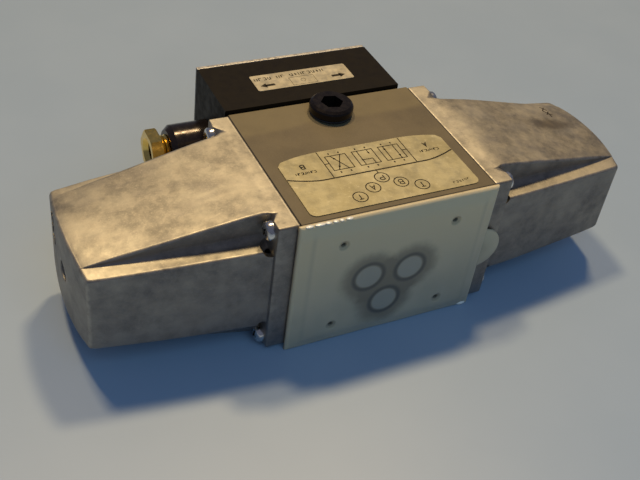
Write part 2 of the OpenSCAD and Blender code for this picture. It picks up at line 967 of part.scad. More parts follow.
module terminal_screws()
    color([0.8, 0.75, 0.5])
        at_terminals()
            difference() {
                union() {
                    along_y(block_y - 2, block_back, 1.58, 0, 0);
                    along_y(block_back, block_back + 1.8, 3, 0, 0);
                }
                translate([-3, block_back + 1, -0.4])
                    cube([6, 2, 0.8]);
            }

module box_label()
    color([0.75, 0.7, 0.6])
        prism_z(box_top, box_top + label_t)
            polygon(concat(corner(label_left + 1, label_front + 1, 1, 180),
                           corner(label_right - 1, label_front + 1, 1, 270),
                           corner(label_right - 1, label_back - 1, 1, 0),
                           corner(label_left + 1, label_back - 1, 1, 90)));

// ---------------------------------------------------------------- conduit fittings

// Places an outline of [x, radius] as a solid of revolution on the conduit axis
module conduit_turned(profile)
    translate([0, conduit_y, conduit_z])
        rotate([0, 90, 0])
            rotate_extrude()
                polygon([for (p = profile) [p.y, p.x]]);

module conduit_adapter()
    color([0.1, 0.08, 0.08])
        conduit_turned([
            [adapter_front, thread_r + 0.05], [adapter_front, adapter_r - 2],
            [adapter_front + adapter_chamfer, adapter_r], [box_left, adapter_r],
            [box_left, adapter_shank_r], [adapter_tail, adapter_shank_r],
            [adapter_tail, cable_r + 0.4], [thread_end + 1, cable_r + 0.4],
            [thread_end + 1, thread_r + 0.05]]);

module conduit_locknut()
    color([0.6, 0.6, 0.62])
        difference() {
            hex_x(box_left + box_wall, box_left + box_wall + locknut_t, locknut_af,
                  conduit_y, conduit_z);
            along_x_at(box_left, 0, adapter_shank_r + 0.02, conduit_y, conduit_z);
        }

// Thread profile: V grooves at an even pitch
thread_start = hex_back + 0.6;
thread_turns = floor((thread_end - thread_start) / thread_pitch);
thread_profile = [for (i = [0 : thread_turns - 1], k = [0 : 1])
    [thread_start + (i + k / 2) * thread_pitch, thread_r - k * thread_depth]];

module brass_bushing()
    color([0.85, 0.68, 0.25])
        difference() {
            union() {
                conduit_turned(concat(
                    [[hex_back - 1, 0], [hex_back - 1, thread_r - thread_depth],
                     [thread_start - 0.3, thread_r - thread_depth]],
                    thread_profile,
                    [[thread_end, thread_r - thread_depth], [thread_end, 0]]));
                intersection() {
                    hex_x(hex_front, hex_back, bushing_af, conduit_y, conduit_z);
                    conduit_turned([[hex_front, 0], [hex_front, hex_face_r],
                                    [hex_front + 0.5, bushing_af / 2 + 1.5],
                                    [hex_back - 0.5, bushing_af / 2 + 1.5],
                                    [hex_back, hex_face_r], [hex_back, 0]]);
                }
            }
            conduit_turned([[hex_front - 1, 0], [hex_front - 1, entry_r + 1],
                            [hex_front + entry_depth, cable_r], [thread_end + 1, cable_r],
                            [thread_end + 1, 0]]);
        }

// ---------------------------------------------------------------- shipping cover

// Hipped panel: a rim, a sloping border all round and a flat middle
module hipped_panel() {
    low = -body_bottom;
    back = -ship_gap;
    rim = -ship_rim;
    front = -ship_rise;
    intersection() {
        prism_z(low, body_top)
            polygon([[-ship_half_w, back], [-ship_half_w, rim],
                     [-ship_half_w + ship_slope, front], [ship_half_w - ship_slope, front],
                     [ship_half_w, rim], [ship_half_w, back]]);
        prism_x(-ship_half_w, ship_half_w)
            polygon([[back, low], [rim, low], [front, low + ship_slope],
                     [front, body_top - ship_slope], [rim, body_top], [back, body_top]]);
    }
}

// Moulded plate with dimples that seat in the bolt holes, and a tab to pull it off by
module shipping_cover()
    color([0.7, 0.72, 0.68, 0.85])
        difference() {
            union() {
                difference() {
                    hipped_panel();
                    prism_y(-ship_recess, 1)
                        span([-ship_half_w + ship_lip, -body_bottom + ship_lip],
                             [ship_half_w - ship_lip, body_top - ship_lip]);
                }
                translate([tab_x, tab_y, tab_z])
                    rotate([-90, 0, 0])
                        cylinder(h = tab_t, r = tab_r);
                at_bolts()
                    along_y(-ship_rise, peg_tip, bolt_r + lead_in - 0.3, 0, 0,
                            bolt_r - peg_tip + lead_in - 0.3);
            }
            at_bolts()
                along_y(-ship_rise - eps, -ship_rise + dimple_depth, dimple_r, 0, 0,
                        dimple_tip_r);
        }

// ---------------------------------------------------------------- nodes

valve_body();
spool();
spring_seat(1);  // spring_seat_a
spring_seat(-1);  // spring_seat_b
centring_spring(1);  // centring_spring_a
centring_spring(-1);  // centring_spring_b
push_pin(1);  // push_pin_a
push_pin(-1);  // push_pin_b
armature(1);  // armature_a
armature(-1);  // armature_b
pole_piece(1);  // pole_piece_a
pole_piece(-1);  // pole_piece_b
core_tube(1);  // core_tube_a
core_tube(-1);  // core_tube_b
tube_seal(1);  // tube_seal_a
tube_seal(-1);  // tube_seal_b
coil_bobbin(1);  // coil_bobbin_a
coil_bobbin(-1);  // coil_bobbin_b
coil_winding(1);  // coil_winding_a
coil_winding(-1);  // coil_winding_b
coil_yoke(1);  // coil_yoke_a
coil_yoke(-1);  // coil_yoke_b
yoke_cap(1);  // yoke_cap_a
yoke_cap(-1);  // yoke_cap_b
coil_nut(1);  // coil_nut_a
coil_nut(-1);  // coil_nut_b
coil_leads(1);  // coil_leads_a
coil_leads(-1);  // coil_leads_b
solenoid_cover(1);  // solenoid_cover_a
solenoid_cover(-1);  // solenoid_cover_b
cover_gasket(1);  // cover_gasket_a
cover_gasket(-1);  // cover_gasket_b
cover_screws(1);  // cover_screws_a
cover_screws(-1);  // cover_screws_b
override_pin(1);  // override_pin_a
override_pin(-1);  // override_pin_b
override_seal(1);  // override_seal_a
override_seal(-1);  // override_seal_b
port_seals();
hex_socket_plug();
plug_seal();
nameplate();
terminal_box();
box_gasket();
box_lid();
lid_gasket();
lid_screws();
box_screws();
terminal_block();
terminal_screws();
box_label();
conduit_adapter();
conduit_locknut();
brass_bushing();
shipping_cover();
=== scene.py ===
"""Looks of the solenoid valve: a studio floor, soft lights, the camera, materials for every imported
node, and detailed pieces for the cast covers, the shipping plate and the printed legends.
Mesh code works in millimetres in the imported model's frame; MM turns them into metres."""
import functools
import json
import math

import bmesh
import bpy
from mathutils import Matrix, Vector, noise


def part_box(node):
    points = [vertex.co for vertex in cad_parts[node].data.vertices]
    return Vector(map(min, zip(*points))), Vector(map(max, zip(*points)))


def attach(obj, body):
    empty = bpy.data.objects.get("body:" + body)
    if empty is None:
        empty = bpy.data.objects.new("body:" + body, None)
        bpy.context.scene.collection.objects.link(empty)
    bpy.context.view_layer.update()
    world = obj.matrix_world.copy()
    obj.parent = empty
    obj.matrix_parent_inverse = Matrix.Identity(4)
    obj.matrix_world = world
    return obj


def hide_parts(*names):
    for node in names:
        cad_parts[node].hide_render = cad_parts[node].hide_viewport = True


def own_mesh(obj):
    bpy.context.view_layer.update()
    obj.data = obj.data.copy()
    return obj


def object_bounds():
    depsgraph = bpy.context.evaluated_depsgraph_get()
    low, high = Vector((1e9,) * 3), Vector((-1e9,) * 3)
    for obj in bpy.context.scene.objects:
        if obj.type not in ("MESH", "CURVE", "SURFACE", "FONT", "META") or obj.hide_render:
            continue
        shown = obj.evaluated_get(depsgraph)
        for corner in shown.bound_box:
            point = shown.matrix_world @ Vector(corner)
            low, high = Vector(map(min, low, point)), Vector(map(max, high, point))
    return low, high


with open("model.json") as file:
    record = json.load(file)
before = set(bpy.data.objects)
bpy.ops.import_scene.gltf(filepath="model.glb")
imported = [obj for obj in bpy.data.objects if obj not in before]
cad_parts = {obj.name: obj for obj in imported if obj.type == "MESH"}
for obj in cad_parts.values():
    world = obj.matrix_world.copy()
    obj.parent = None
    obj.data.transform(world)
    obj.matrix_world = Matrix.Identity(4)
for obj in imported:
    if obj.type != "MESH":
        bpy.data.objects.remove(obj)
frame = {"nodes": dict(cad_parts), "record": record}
CAD_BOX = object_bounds()
NODES = frame["nodes"]
MM = 0.001


def box_mm(node):
    """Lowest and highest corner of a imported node, in millimetres."""
    low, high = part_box(node)
    return Vector(low) / MM, Vector(high) / MM


COVER_LOW, COVER_HIGH = box_mm("solenoid_cover_a")
PLATE_HIGH = box_mm("nameplate")[1]
LABEL_HIGH = box_mm("box_label")[1]
SHIP_LOW, SHIP_HIGH = box_mm("shipping_cover")
SPOOL_LOW, SPOOL_HIGH = box_mm("spool")
AXIS_Y = (SPOOL_LOW.y + SPOOL_HIGH.y) / 2
AXIS_Z = (SPOOL_LOW.z + SPOOL_HIGH.z) / 2
FLOOR_Z = CAD_BOX[0].z


# ---------------------------------------- camera, lights, floor

CAMERA_PLACE = (-0.1902, -0.2561, 0.2795)
CAMERA_TURN = (49.36, -6.59, -25.25)
CAMERA_LENS = 54.57
LIT_POINT = (0.0, 0.03, 0.0)
LAMP_Y, LAMP_Z, LAMP_SIZE = 0.85, 2.2, 0.26
WARM = (1.0, 0.73, 0.38)
COOL = (0.36, 0.68, 1.0)
DIM_ROOM = (0.092, 0.104, 0.15, 1.0)


def place_object(name, data):
    """Links a new object that shows the given data."""
    made = bpy.data.objects.new(name, data)
    bpy.context.scene.collection.objects.link(made)
    return made


def make_camera():
    """The camera looks down on the valve from its front left."""
    data = bpy.data.cameras.new("camera")
    data.lens = CAMERA_LENS
    data.sensor_width = 36.0
    data.clip_start = 0.01
    camera = place_object("camera", data)
    camera.location = CAMERA_PLACE
    camera.rotation_euler = [math.radians(a) for a in CAMERA_TURN]
    bpy.context.scene.camera = camera


def area_light(name, place, size, power, colour):
    """A soft square light aimed at the valve."""
    data = bpy.data.lights.new(name, "AREA")
    data.size = size
    data.energy = power
    data.color = colour
    light = place_object(name, data)
    light.location = place
    aim = Vector(LIT_POINT) - Vector(place)
    light.rotation_euler = aim.to_track_quat("-Z", "Y").to_euler()
    return light


def make_lights():
    """Two warm lamps behind and above, a cool wide fill from the front, and a dim room."""
    for name, x, power in (("lamp_left", -0.24, 25.6), ("lamp_right", 0.64, 26.6)):
        area_light(name, (x, LAMP_Y, LAMP_Z), LAMP_SIZE, power, WARM)
    fill = area_light("fill_front", (-0.1, -0.9, 1.0), 1.0, 4.4, COOL)
    fill.visible_glossy = False
    world = bpy.data.worlds.new("world")
    world.use_nodes = True
    world.node_tree.nodes["Background"].inputs["Color"].default_value = DIM_ROOM
    bpy.context.scene.world = world
    bpy.context.scene.view_settings.view_transform = "Standard"


# ---------------------------------------- material building

class Shade:
    """One node material. Each helper adds a node and returns its output socket."""

    def __init__(self, name, colour, metallic=0.0, roughness=0.5, **sockets):
        self.material = bpy.data.materials.new(name)
        self.material.use_nodes = True
        self.tree = self.material.node_tree
        self.shader = self.tree.nodes["Principled BSDF"]
        self.set("Base Color", (*colour, 1.0))
        self.set("Metallic", metallic)
        self.set("Roughness", roughness)
        for socket, value in sockets.items():
            self.set(socket.replace("_", " "), value)
        self.material.diffuse_color = (*colour, 1.0)
        self.place = self.node("ShaderNodeTexCoord").outputs["Object"]

    def node(self, kind, **settings):
        made = self.tree.nodes.new(kind)
        for key, value in settings.items():
            setattr(made, key, value)
        return made

    def feed(self, socket, value):
        """Links a socket, or sets a plain value."""
        if isinstance(value, bpy.types.NodeSocket):
            self.tree.links.new(value, socket)
        else:
            socket.default_value = value

    def set(self, name, value):
        self.feed(self.shader.inputs[name], value)

    def stretched(self, scale):
        """Object coordinates stretched per axis."""
        made = self.node("ShaderNodeMapping")
        self.feed(made.inputs["Vector"], self.place)
        made.inputs["Scale"].default_value = scale
        return made.outputs["Vector"]

    def noise(self, size_mm, detail=4.0, roughness=0.55, stretch=None, offset=0.0):
        """Fractal noise whose patches are about size_mm across."""
        made = self.node("ShaderNodeTexNoise", noise_dimensions="4D")
        self.feed(made.inputs["Vector"], self.stretched(stretch) if stretch else self.place)
        made.inputs["W"].default_value = offset
        made.inputs["Scale"].default_value = 1.0 / (size_mm * MM)
        made.inputs["Detail"].default_value = detail
        made.inputs["Roughness"].default_value = roughness
        return made.outputs["Fac"]

    def cells(self, size_mm):
        """Distance to the nearest of scattered points about size_mm apart."""
        made = self.node("ShaderNodeTexVoronoi", feature="F1")
        self.feed(made.inputs["Vector"], self.place)
        made.inputs["Scale"].default_value = 1.0 / (size_mm * MM)
        return made.outputs["Distance"]

    def part(self, vector, letter):
        """One component of a vector."""
        made = self.node("ShaderNodeSeparateXYZ")
        self.feed(made.inputs[0], vector)
        return made.outputs[letter]

    def axis(self, letter):
        """The place along an object axis, in metres."""
        return self.part(self.place, letter)

    def facing(self, letter):
        """How much the surface faces along an object axis, from -1 to 1."""
        return self.part(self.node("ShaderNodeTexCoord").outputs["Normal"], letter)

    def attribute(self, name):
        return self.node("ShaderNodeAttribute", attribute_name=name).outputs["Fac"]

    def range(self, value, low, high, out_low=0.0, out_high=1.0):
        """Maps low..high to out_low..out_high, smoothly and clamped."""
        made = self.node("ShaderNodeMapRange", interpolation_type="SMOOTHSTEP")
        self.feed(made.inputs["Value"], value)
        for name, end in (("From Min", low), ("From Max", high), ("To Min", out_low),
                          ("To Max", out_high)):
            made.inputs[name].default_value = end
        return made.outputs["Result"]

    def maths(self, operation, a, b=0.0):
        made = self.node("ShaderNodeMath", operation=operation)
        self.feed(made.inputs[0], a)
        self.feed(made.inputs[1], b)
        return made.outputs[0]

    def times(self, a, b):
        return self.maths("MULTIPLY", a, b)

    def minus(self, a, b):
        return self.maths("SUBTRACT", a, b)

    def length(self, a, b):
        """Length of the vector (a, b)."""
        return self.maths("SQRT", self.maths("ADD", self.times(a, a), self.times(b, b)))

    def uneven(self, size_mm, detail, offset, reach):
        """Noise about zero that wanders by half the reach to each side."""
        return self.times(self.minus(self.noise(size_mm, detail, offset=offset), 0.5), reach)

    def rough(self, size_mm, low, high, detail=4):
        """Sets a roughness that drifts between low and high."""
        self.set("Roughness", self.range(self.noise(size_mm, detail), 0.3, 0.7, low, high))

    def tint(self, base, amount, strength, colour):
        """Lays a colour over a base by an amount times a strength."""
        return self.blend(self.times(amount, strength), base, colour)

    def blend(self, amount, first, second):
        """Mixes two colours."""
        made = self.node("ShaderNodeMix", data_type="RGBA", blend_type="MIX")
        self.feed(made.inputs[0], amount)
        for socket, value in ((made.inputs[6], first), (made.inputs[7], second)):
            self.feed(socket, value if isinstance(value, bpy.types.NodeSocket) else (*value, 1.0))
        return made.outputs[2]

    def bump(self, height, depth_mm, strength=1.0, normal=None):
        """A bump of the given height. Chained when a normal is given."""
        made = self.node("ShaderNodeBump")
        self.feed(made.inputs["Height"], height)
        made.inputs["Distance"].default_value = depth_mm * MM
        made.inputs["Strength"].default_value = strength
        if normal is not None:
            self.feed(made.inputs["Normal"], normal)
        return made.outputs["Normal"]


# A dark patch on cover A's top: its middle (x, y) and its half sizes
PATCH_MIDDLE = (109.0, 43.0)
PATCH_REACH = (14.0, 5.5)


def dark_top_patch(s):
    """1 inside the patch, fading out unevenly towards its edge."""
    along, across = [s.maths("DIVIDE", s.minus(s.axis(letter), middle * MM), reach * MM)
                     for letter, middle, reach in zip("XY", PATCH_MIDDLE, PATCH_REACH)]
    away = s.maths("ADD", s.length(along, across), s.uneven(5, 4, 6.1, 1.2))
    return s.times(s.range(away, 0.3, 1.3, 1.0, 0.0), s.range(s.facing("Z"), 0.2, 0.6))


def cast_aluminium():
    """Raw die-cast alloy: stained, mottled and lightly pitted; brighter along its edges, partly rubbed
    and partly a painted highlight; darker on its upright faces, a painted shade.
    """
    s = Shade("cast_aluminium", (0.36, 0.33, 0.28), metallic=1.0, roughness=0.5)
    stain = s.range(s.noise(20, 5, 0.62), 0.38, 0.64)
    mottle = s.range(s.noise(4.5, 5, 0.65, offset=3.1), 0.36, 0.66)
    fleck = s.range(s.noise(0.8, 3, 0.6, offset=7.7), 0.5, 0.78)
    flow = s.range(s.noise(8, 4, 0.6, (0.35, 1.0, 1.0), 5.2), 0.48, 0.7)
    base = s.blend(stain, (0.26, 0.25, 0.228), (0.46, 0.44, 0.385))
    base = s.tint(base, mottle, 0.5, (0.50, 0.465, 0.40))
    base = s.tint(base, flow, 0.4, (0.235, 0.225, 0.225))
    base = s.tint(base, fleck, 0.42, (0.60, 0.55, 0.46))
    # Edge brightening: partly rubbed metal, partly a painted highlight along the rounded edges.
    edge = s.times(s.attribute("edge"), s.range(s.noise(3, 3), 0.3, 0.6))
    base = s.tint(base, edge, 0.6, (0.76, 0.71, 0.60))
    # Darkens a patch on the upward faces of cover A's top.
    base = s.tint(base, dark_top_patch(s), 0.75, (0.15, 0.13, 0.105))
    # Painted shade: faces that stand upright are darkened towards blue-grey.
    side = s.range(s.maths("ABSOLUTE", s.facing("Z")), 0.35, 0.8, 0.38, 0.0)
    base = s.blend(side, base, (0.17, 0.17, 0.19))
    s.set("Base Color", base)
    rough = s.range(s.noise(6, 4, 0.6, offset=1.3), 0.3, 0.7, 0.5, 0.64)
    s.set("Roughness", s.minus(rough, s.times(edge, 0.08)))
    waves = s.bump(s.noise(8, 3, 0.5, offset=9.0), 0.3, 0.45)
    grain = s.bump(s.noise(0.7, 3, 0.6), 0.05, 0.55, waves)
    pits = s.bump(s.range(s.cells(1.6), 0.05, 0.3), 0.04, 0.3, grain)
    s.set("Normal", pits)
    return s.material


def body_iron():
    """Ground iron under a thin olive-brown coat, with a painted reflection that makes it lighter along
    its back.
    """
    s = Shade("body_iron", (0.2, 0.155, 0.105), metallic=0.15, roughness=0.5)
    cloud = s.range(s.noise(28, 4, 0.55), 0.35, 0.65)
    speck = s.range(s.noise(0.8, 4, 0.7, offset=2.0), 0.45, 0.75)
    base = s.blend(cloud, (0.112, 0.09, 0.055), (0.15, 0.12, 0.072))
    # Painted reflection: a lighter band along the back of the top face.
    back = s.range(s.maths("ADD", s.axis("Y"), s.uneven(30, 2, 8.0, 0.012)), 0.062, 0.0665)
    base = s.tint(base, back, 0.6, (0.19, 0.155, 0.082))
    s.set("Base Color", s.tint(base, speck, 0.25, (0.24, 0.195, 0.13)))
    s.rough(9, 0.44, 0.6)
    lines = s.bump(s.noise(0.5, 3, 0.6, (0.06, 1.0, 1.0)), 0.03, 0.4)
    s.set("Normal", s.bump(s.noise(1.1, 3, 0.6, offset=4.0), 0.03, 0.4, lines))
    return s.material


def plate_foil():
    """Satin gold-grey foil, lightly rubbed and crinkled."""
    s = Shade("plate_foil", (0.40, 0.35, 0.22), metallic=0.85, roughness=0.42)
    cloud = s.range(s.noise(14, 4, 0.6), 0.35, 0.68)
    rub = s.range(s.noise(2.4, 5, 0.7, offset=6.0), 0.52, 0.8)
    base = s.blend(cloud, (0.35, 0.32, 0.205), (0.45, 0.42, 0.29))
    s.set("Base Color", s.tint(base, rub, 0.5, (0.70, 0.66, 0.50)))
    s.rough(5, 0.4, 0.54)
    crinkle = s.bump(s.noise(3.2, 3, 0.5, offset=1.0), 0.1, 0.3)
    s.set("Normal", s.bump(s.noise(0.35, 2), 0.012, 0.4, crinkle))
    return s.material


def label_foil():
    """The terminal box's label: paler satin foil."""
    s = Shade("label_foil", (0.42, 0.39, 0.31), metallic=0.7, roughness=0.42)
    cloud = s.range(s.noise(7, 4, 0.6), 0.35, 0.68)
    s.set("Base Color", s.blend(cloud, (0.47, 0.43, 0.32), (0.60, 0.55, 0.42)))
    s.rough(3, 0.38, 0.52)
    s.set("Normal", s.bump(s.noise(2.2, 3), 0.04, 0.3))
    return s.material


def print_ink():
    """Dark brown print, slightly worn."""
    s = Shade("print_ink", (0.02, 0.014, 0.008), roughness=0.6, Specular_IOR_Level=0.25)
    wear = s.range(s.noise(0.9, 3, offset=2.0), 0.55, 0.8)
    s.set("Base Color", s.tint((0.014, 0.01, 0.006), wear, 0.35, (0.09, 0.065, 0.03)))
    s.rough(2, 0.5, 0.66, 3)
    return s.material


def box_paint():
    """Satin black-brown paint with fine orange peel and a little dust."""
    s = Shade("box_paint", (0.008, 0.006, 0.004), roughness=0.5, Specular_IOR_Level=0.14)
    dust = s.range(s.noise(5, 5, 0.7), 0.45, 0.75)
    s.set("Base Color", s.tint((0.007, 0.005, 0.003), dust, 0.35, (0.016, 0.012, 0.008)))
    s.rough(4, 0.44, 0.6)
    peel = s.bump(s.noise(0.9, 2, 0.5, offset=3.0), 0.03, 0.45)
    s.set("Normal", s.bump(s.noise(12, 2), 0.1, 0.2, peel))
    return s.material


# Width of the worn strip along the lid's long edges
WORN_WIDTH = 0.6


def lid_paint():
    """The box lid: the same black, rubbed to bare metal along its edges."""
    s = Shade("lid_paint", (0.03, 0.028, 0.026), roughness=0.45)
    low, high = box_mm("box_lid")
    middle = s.maths("ABSOLUTE", s.minus(s.axis("Z"), (low.z + high.z) / 2 * MM))
    half = (high.z - low.z) / 2
    rim = s.range(middle, (half - WORN_WIDTH) * MM, half * MM)
    worn = s.times(rim, s.range(s.noise(1.5, 3), 0.3, 0.55, 0.55, 1.0))
    s.set("Base Color", s.blend(worn, (0.026, 0.024, 0.022), (0.62, 0.60, 0.56)))
    s.set("Metallic", s.times(worn, 0.8))
    s.rough(3, 0.34, 0.5)
    s.set("Normal", s.bump(s.noise(0.8, 2), 0.03, 0.4))
    return s.material


def black_oxide(name, colour, low_rough, high_rough):
    """Oiled black steel with a soft gloss, rubbed lighter in places."""
    s = Shade(name, colour, metallic=0.5, roughness=low_rough)
    rub = s.range(s.noise(1.6, 4, 0.6), 0.5, 0.8)
    worn = tuple(c * 2.6 + 0.02 for c in colour)
    s.set("Base Color", s.tint(colour, rub, 0.35, worn))
    s.rough(2.5, low_rough, high_rough)
    s.set("Normal", s.bump(s.noise(0.8, 3), 0.02, 0.4))
    return s.material


def turned_metal(name, colour, low_rough, high_rough, tint):
    """Turned or plated metal: faint tool lines and cloudy sheen."""
    s = Shade(name, colour, metallic=1.0, roughness=low_rough)
    cloud = s.range(s.noise(3, 4, 0.6), 0.35, 0.7)
    s.set("Base Color", s.blend(cloud, colour, tint))
    s.rough(1.5, low_rough, high_rough)
    s.set("Normal", s.bump(s.noise(0.45, 3, 0.6, (1.0, 0.2, 0.2)), 0.012, 0.5))
    return s.material


def plain_stuff(name, colour, rough, grain_mm, depth_mm, metallic=0.0):
    """Moulded or cut stock with a slight colour drift and a fine grain."""
    s = Shade(name, colour, metallic=metallic, roughness=rough)
    darker = tuple(c * 0.8 for c in colour)
    s.set("Base Color", s.blend(s.range(s.noise(4, 4), 0.35, 0.65), darker, colour))
    s.rough(2, rough - 0.06, rough + 0.08, 3)
    s.set("Normal", s.bump(s.noise(grain_mm, 3), depth_mm, 0.5))
    return s.material


# Where the seal rings show through the shipping plate's front face, and how wide they are
PORT_RINGS = ((-12.2, 1.5), (8.2, 1.5), (-2.0, -14.9))
RING_RADIUS, RING_BLUR = 7.3, 1.9
FILM_REACH, FILM_WANDER = (9.0, 16.8), 6.0
PORT_REACH = (5.5, 6.8)


def seal_marks(s):
    """The dark rings, the oil film round them and the port areas inside them, each 0 to 1."""
    x, z = s.axis("X"), s.axis("Z")
    wobble = s.uneven(7, 3, 4.4, FILM_WANDER * MM)
    rings, films, outside = 0.0, 0.0, 1.0
    for centre_x, centre_z in PORT_RINGS:
        away = s.length(s.minus(x, centre_x * MM), s.minus(z, centre_z * MM))
        off = s.maths("ABSOLUTE", s.minus(away, RING_RADIUS * MM))
        rings = s.maths("MAXIMUM", rings, s.range(off, 0.0, RING_BLUR * MM, 1.0, 0.0))
        film = s.range(s.maths("ADD", away, wobble), *[r * MM for r in FILM_REACH], 0.9, 0.0)
        films = s.maths("ADD", films, film)
        outside = s.times(outside, s.range(away, *[r * MM for r in PORT_REACH]))
    return rings, s.times(s.maths("MINIMUM", films, 1.0), outside), s.minus(1.0, outside)


def shipping_plastic():
    """Milky translucent plastic, yellowed, with the seal rings showing through, and painted light:
    lighter at its top, bright along its rim, darker in its creases and dimple pits.
    """
    s = Shade("shipping_plastic", (0.46, 0.41, 0.30), roughness=0.36,
              Subsurface_Weight=0.25, Subsurface_Scale=0.003, Coat_Weight=0.1,
              Coat_Roughness=0.25)
    s.shader.inputs["Subsurface Radius"].default_value = (1.0, 0.95, 0.8)
    cloud = s.range(s.noise(26, 3, 0.5), 0.35, 0.65)
    base = s.blend(cloud, (0.40, 0.36, 0.265), (0.47, 0.415, 0.30))
    smear = s.range(s.noise(9, 5, 0.6, (1.0, 1.0, 0.5), 4.0), 0.5, 0.8)
    base = s.tint(base, smear, 0.2, (0.54, 0.49, 0.37))
    # Painted light: the plate grows lighter and warmer towards its top.
    top = s.range(s.axis("Z"), -0.016, 0.034)
    base = s.blend(top, base, (0.62, 0.51, 0.32))
    # Painted shade along the crease where the rim's slope meets the flat middle.
    base = s.tint(base, s.attribute("fold_shade"), 0.5, (0.27, 0.26, 0.21))
    # Painted highlight along the rim and across the top band.
    base = s.tint(base, s.attribute("rim"), 0.5, (0.62, 0.54, 0.36))
    rings, films, inside = seal_marks(s)
    base = s.tint(base, inside, 0.7, (0.27, 0.27, 0.24))
    base = s.tint(base, films, 0.9, (0.18, 0.155, 0.11))
    base = s.tint(base, rings, 0.9, (0.085, 0.08, 0.07))
    # Painted shade in the dimples' pits and dishes.
    base = s.blend(s.attribute("pit_shade"), base, (0.03, 0.028, 0.022))
    s.set("Base Color", base)
    s.rough(7, 0.3, 0.45)
    s.set("Normal", s.bump(s.noise(5, 3, 0.5, offset=2.0), 0.12, 0.25))
    return s.material


def flash_plastic():
    """Clear glossy beads of the same plastic, coloured near white, partly a painted highlight for
    their glints.
    """
    s = Shade("flash_plastic", (0.85, 0.82, 0.72), roughness=0.3, Specular_IOR_Level=1.0,
              Coat_Weight=1.0, Coat_Roughness=0.2)
    s.set("Base Color", s.blend(s.noise(2, 3), (0.80, 0.77, 0.68), (0.95, 0.93, 0.86)))
    s.set("Normal", s.bump(s.noise(0.8, 2), 0.05, 0.3))
    return s.material


def floor_stuff():
    """A plain pale blue-grey table top with a faint fleck."""
    s = Shade("floor_stuff", (0.31, 0.40, 0.51), roughness=0.42)
    s.set("Base Color", s.blend(s.range(s.noise(60, 3), 0.3, 0.7), (0.305, 0.395, 0.53),
                                (0.32, 0.41, 0.545)))
    s.set("Normal", s.bump(s.noise(1.2, 3), 0.02, 0.2))
    return s.material


MATERIALS = {make.__name__: make for make in (cast_aluminium, body_iron, plate_foil, label_foil,
                                              box_paint, lid_paint, shipping_plastic, flash_plastic)}

# Oiled black steel: colour, lowest and highest roughness
OXIDES = {
    "black_oxide": ((0.014, 0.010, 0.008), 0.2, 0.32),
    "black_oxide_tube": ((0.026, 0.020, 0.019), 0.16, 0.3),
}
# Turned or plated metal: colour, lowest and highest roughness, second colour
METALS = {
    "bright_screw": ((0.78, 0.77, 0.74), 0.14, 0.26, (0.66, 0.65, 0.62)),
    "bushing_brass": ((0.95, 0.68, 0.2), 0.14, 0.24, (0.88, 0.6, 0.15)),
    "override_brass": ((0.80, 0.76, 0.66), 0.2, 0.32, (0.70, 0.66, 0.56)),
    "spool_steel": ((0.62, 0.63, 0.65), 0.12, 0.22, (0.56, 0.57, 0.59)),
    "spring_steel": ((0.36, 0.36, 0.38), 0.26, 0.4, (0.30, 0.30, 0.32)),
    "magnet_iron": ((0.42, 0.42, 0.44), 0.3, 0.45, (0.36, 0.36, 0.37)),
    "tube_steel": ((0.58, 0.58, 0.59), 0.22, 0.34, (0.52, 0.52, 0.53)),
    "plated_steel": ((0.62, 0.58, 0.48), 0.24, 0.36, (0.55, 0.54, 0.50)),
    "terminal_brass": ((0.72, 0.55, 0.24), 0.24, 0.36, (0.64, 0.48, 0.2)),
    "coil_copper": ((0.56, 0.24, 0.10), 0.28, 0.4, (0.48, 0.19, 0.08)),
}
# Moulded or cut stock: colour, roughness, grain size and depth, and how metallic it is
STOCKS = {
    "yoke_steel": ((0.15, 0.15, 0.16), 0.4, 1.0, 0.03, 0.6),
    "coil_plastic": ((0.03, 0.03, 0.032), 0.45, 0.8, 0.02),
    "wire_sleeve": ((0.22, 0.22, 0.22), 0.45, 0.8, 0.02),
    "seal_rubber": ((0.018, 0.018, 0.019), 0.5, 0.6, 0.02),
    "port_seal_rubber": ((0.02, 0.02, 0.021), 0.34, 0.6, 0.02),
    "gasket_sheet": ((0.02, 0.019, 0.018), 0.7, 0.7, 0.05),
    "terminal_plastic": ((0.62, 0.58, 0.47), 0.45, 0.9, 0.02),
}
for recipe, table in ((black_oxide, OXIDES), (turned_metal, METALS), (plain_stuff, STOCKS)):
    for title, values in table.items():
        MATERIALS[title] = functools.partial(recipe, title, *values)
MADE = {}


def material(name):
    """The named material, made once."""
    if name not in MADE:
        MADE[name] = MATERIALS[name]()
    return MADE[name]


# ---------------------------------------- mesh building

WELD = 1e-7


def build_mesh(name, verts, faces, smooth=True, weld=False, edge_wear_and_highlight=None):
    """A mesh from millimetres, with outward normals and, where given, an edge attribute that brightens
    worn edges and paints a highlight along them.
    """
    mesh = bpy.data.meshes.new(name)
    mesh.from_pydata([tuple(c * MM for c in v) for v in verts], [], faces)
    if edge_wear_and_highlight:
        mesh.attributes.new("edge", "FLOAT", "POINT").data.foreach_set("value", edge_wear_and_highlight)
    work = bmesh.new()
    work.from_mesh(mesh)
    if weld:
        bmesh.ops.remove_doubles(work, verts=work.verts, dist=WELD)
    bmesh.ops.recalc_face_normals(work, faces=work.faces)
    for face in work.faces:
        face.smooth = smooth
    work.to_mesh(mesh)
    work.free()
    return mesh


def make_piece(name, verts, faces, slot, body="root", look=None, smooth=True):
    """A mesh in millimetres becomes a piece that rides on a body; without a look it takes the material
    named by the slot.
    """
    mesh = build_mesh(name, verts, faces, smooth, weld=True)
    piece = place_object(name, mesh)
    mesh.materials.append(look or material(slot))
    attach(piece, body)
    return piece


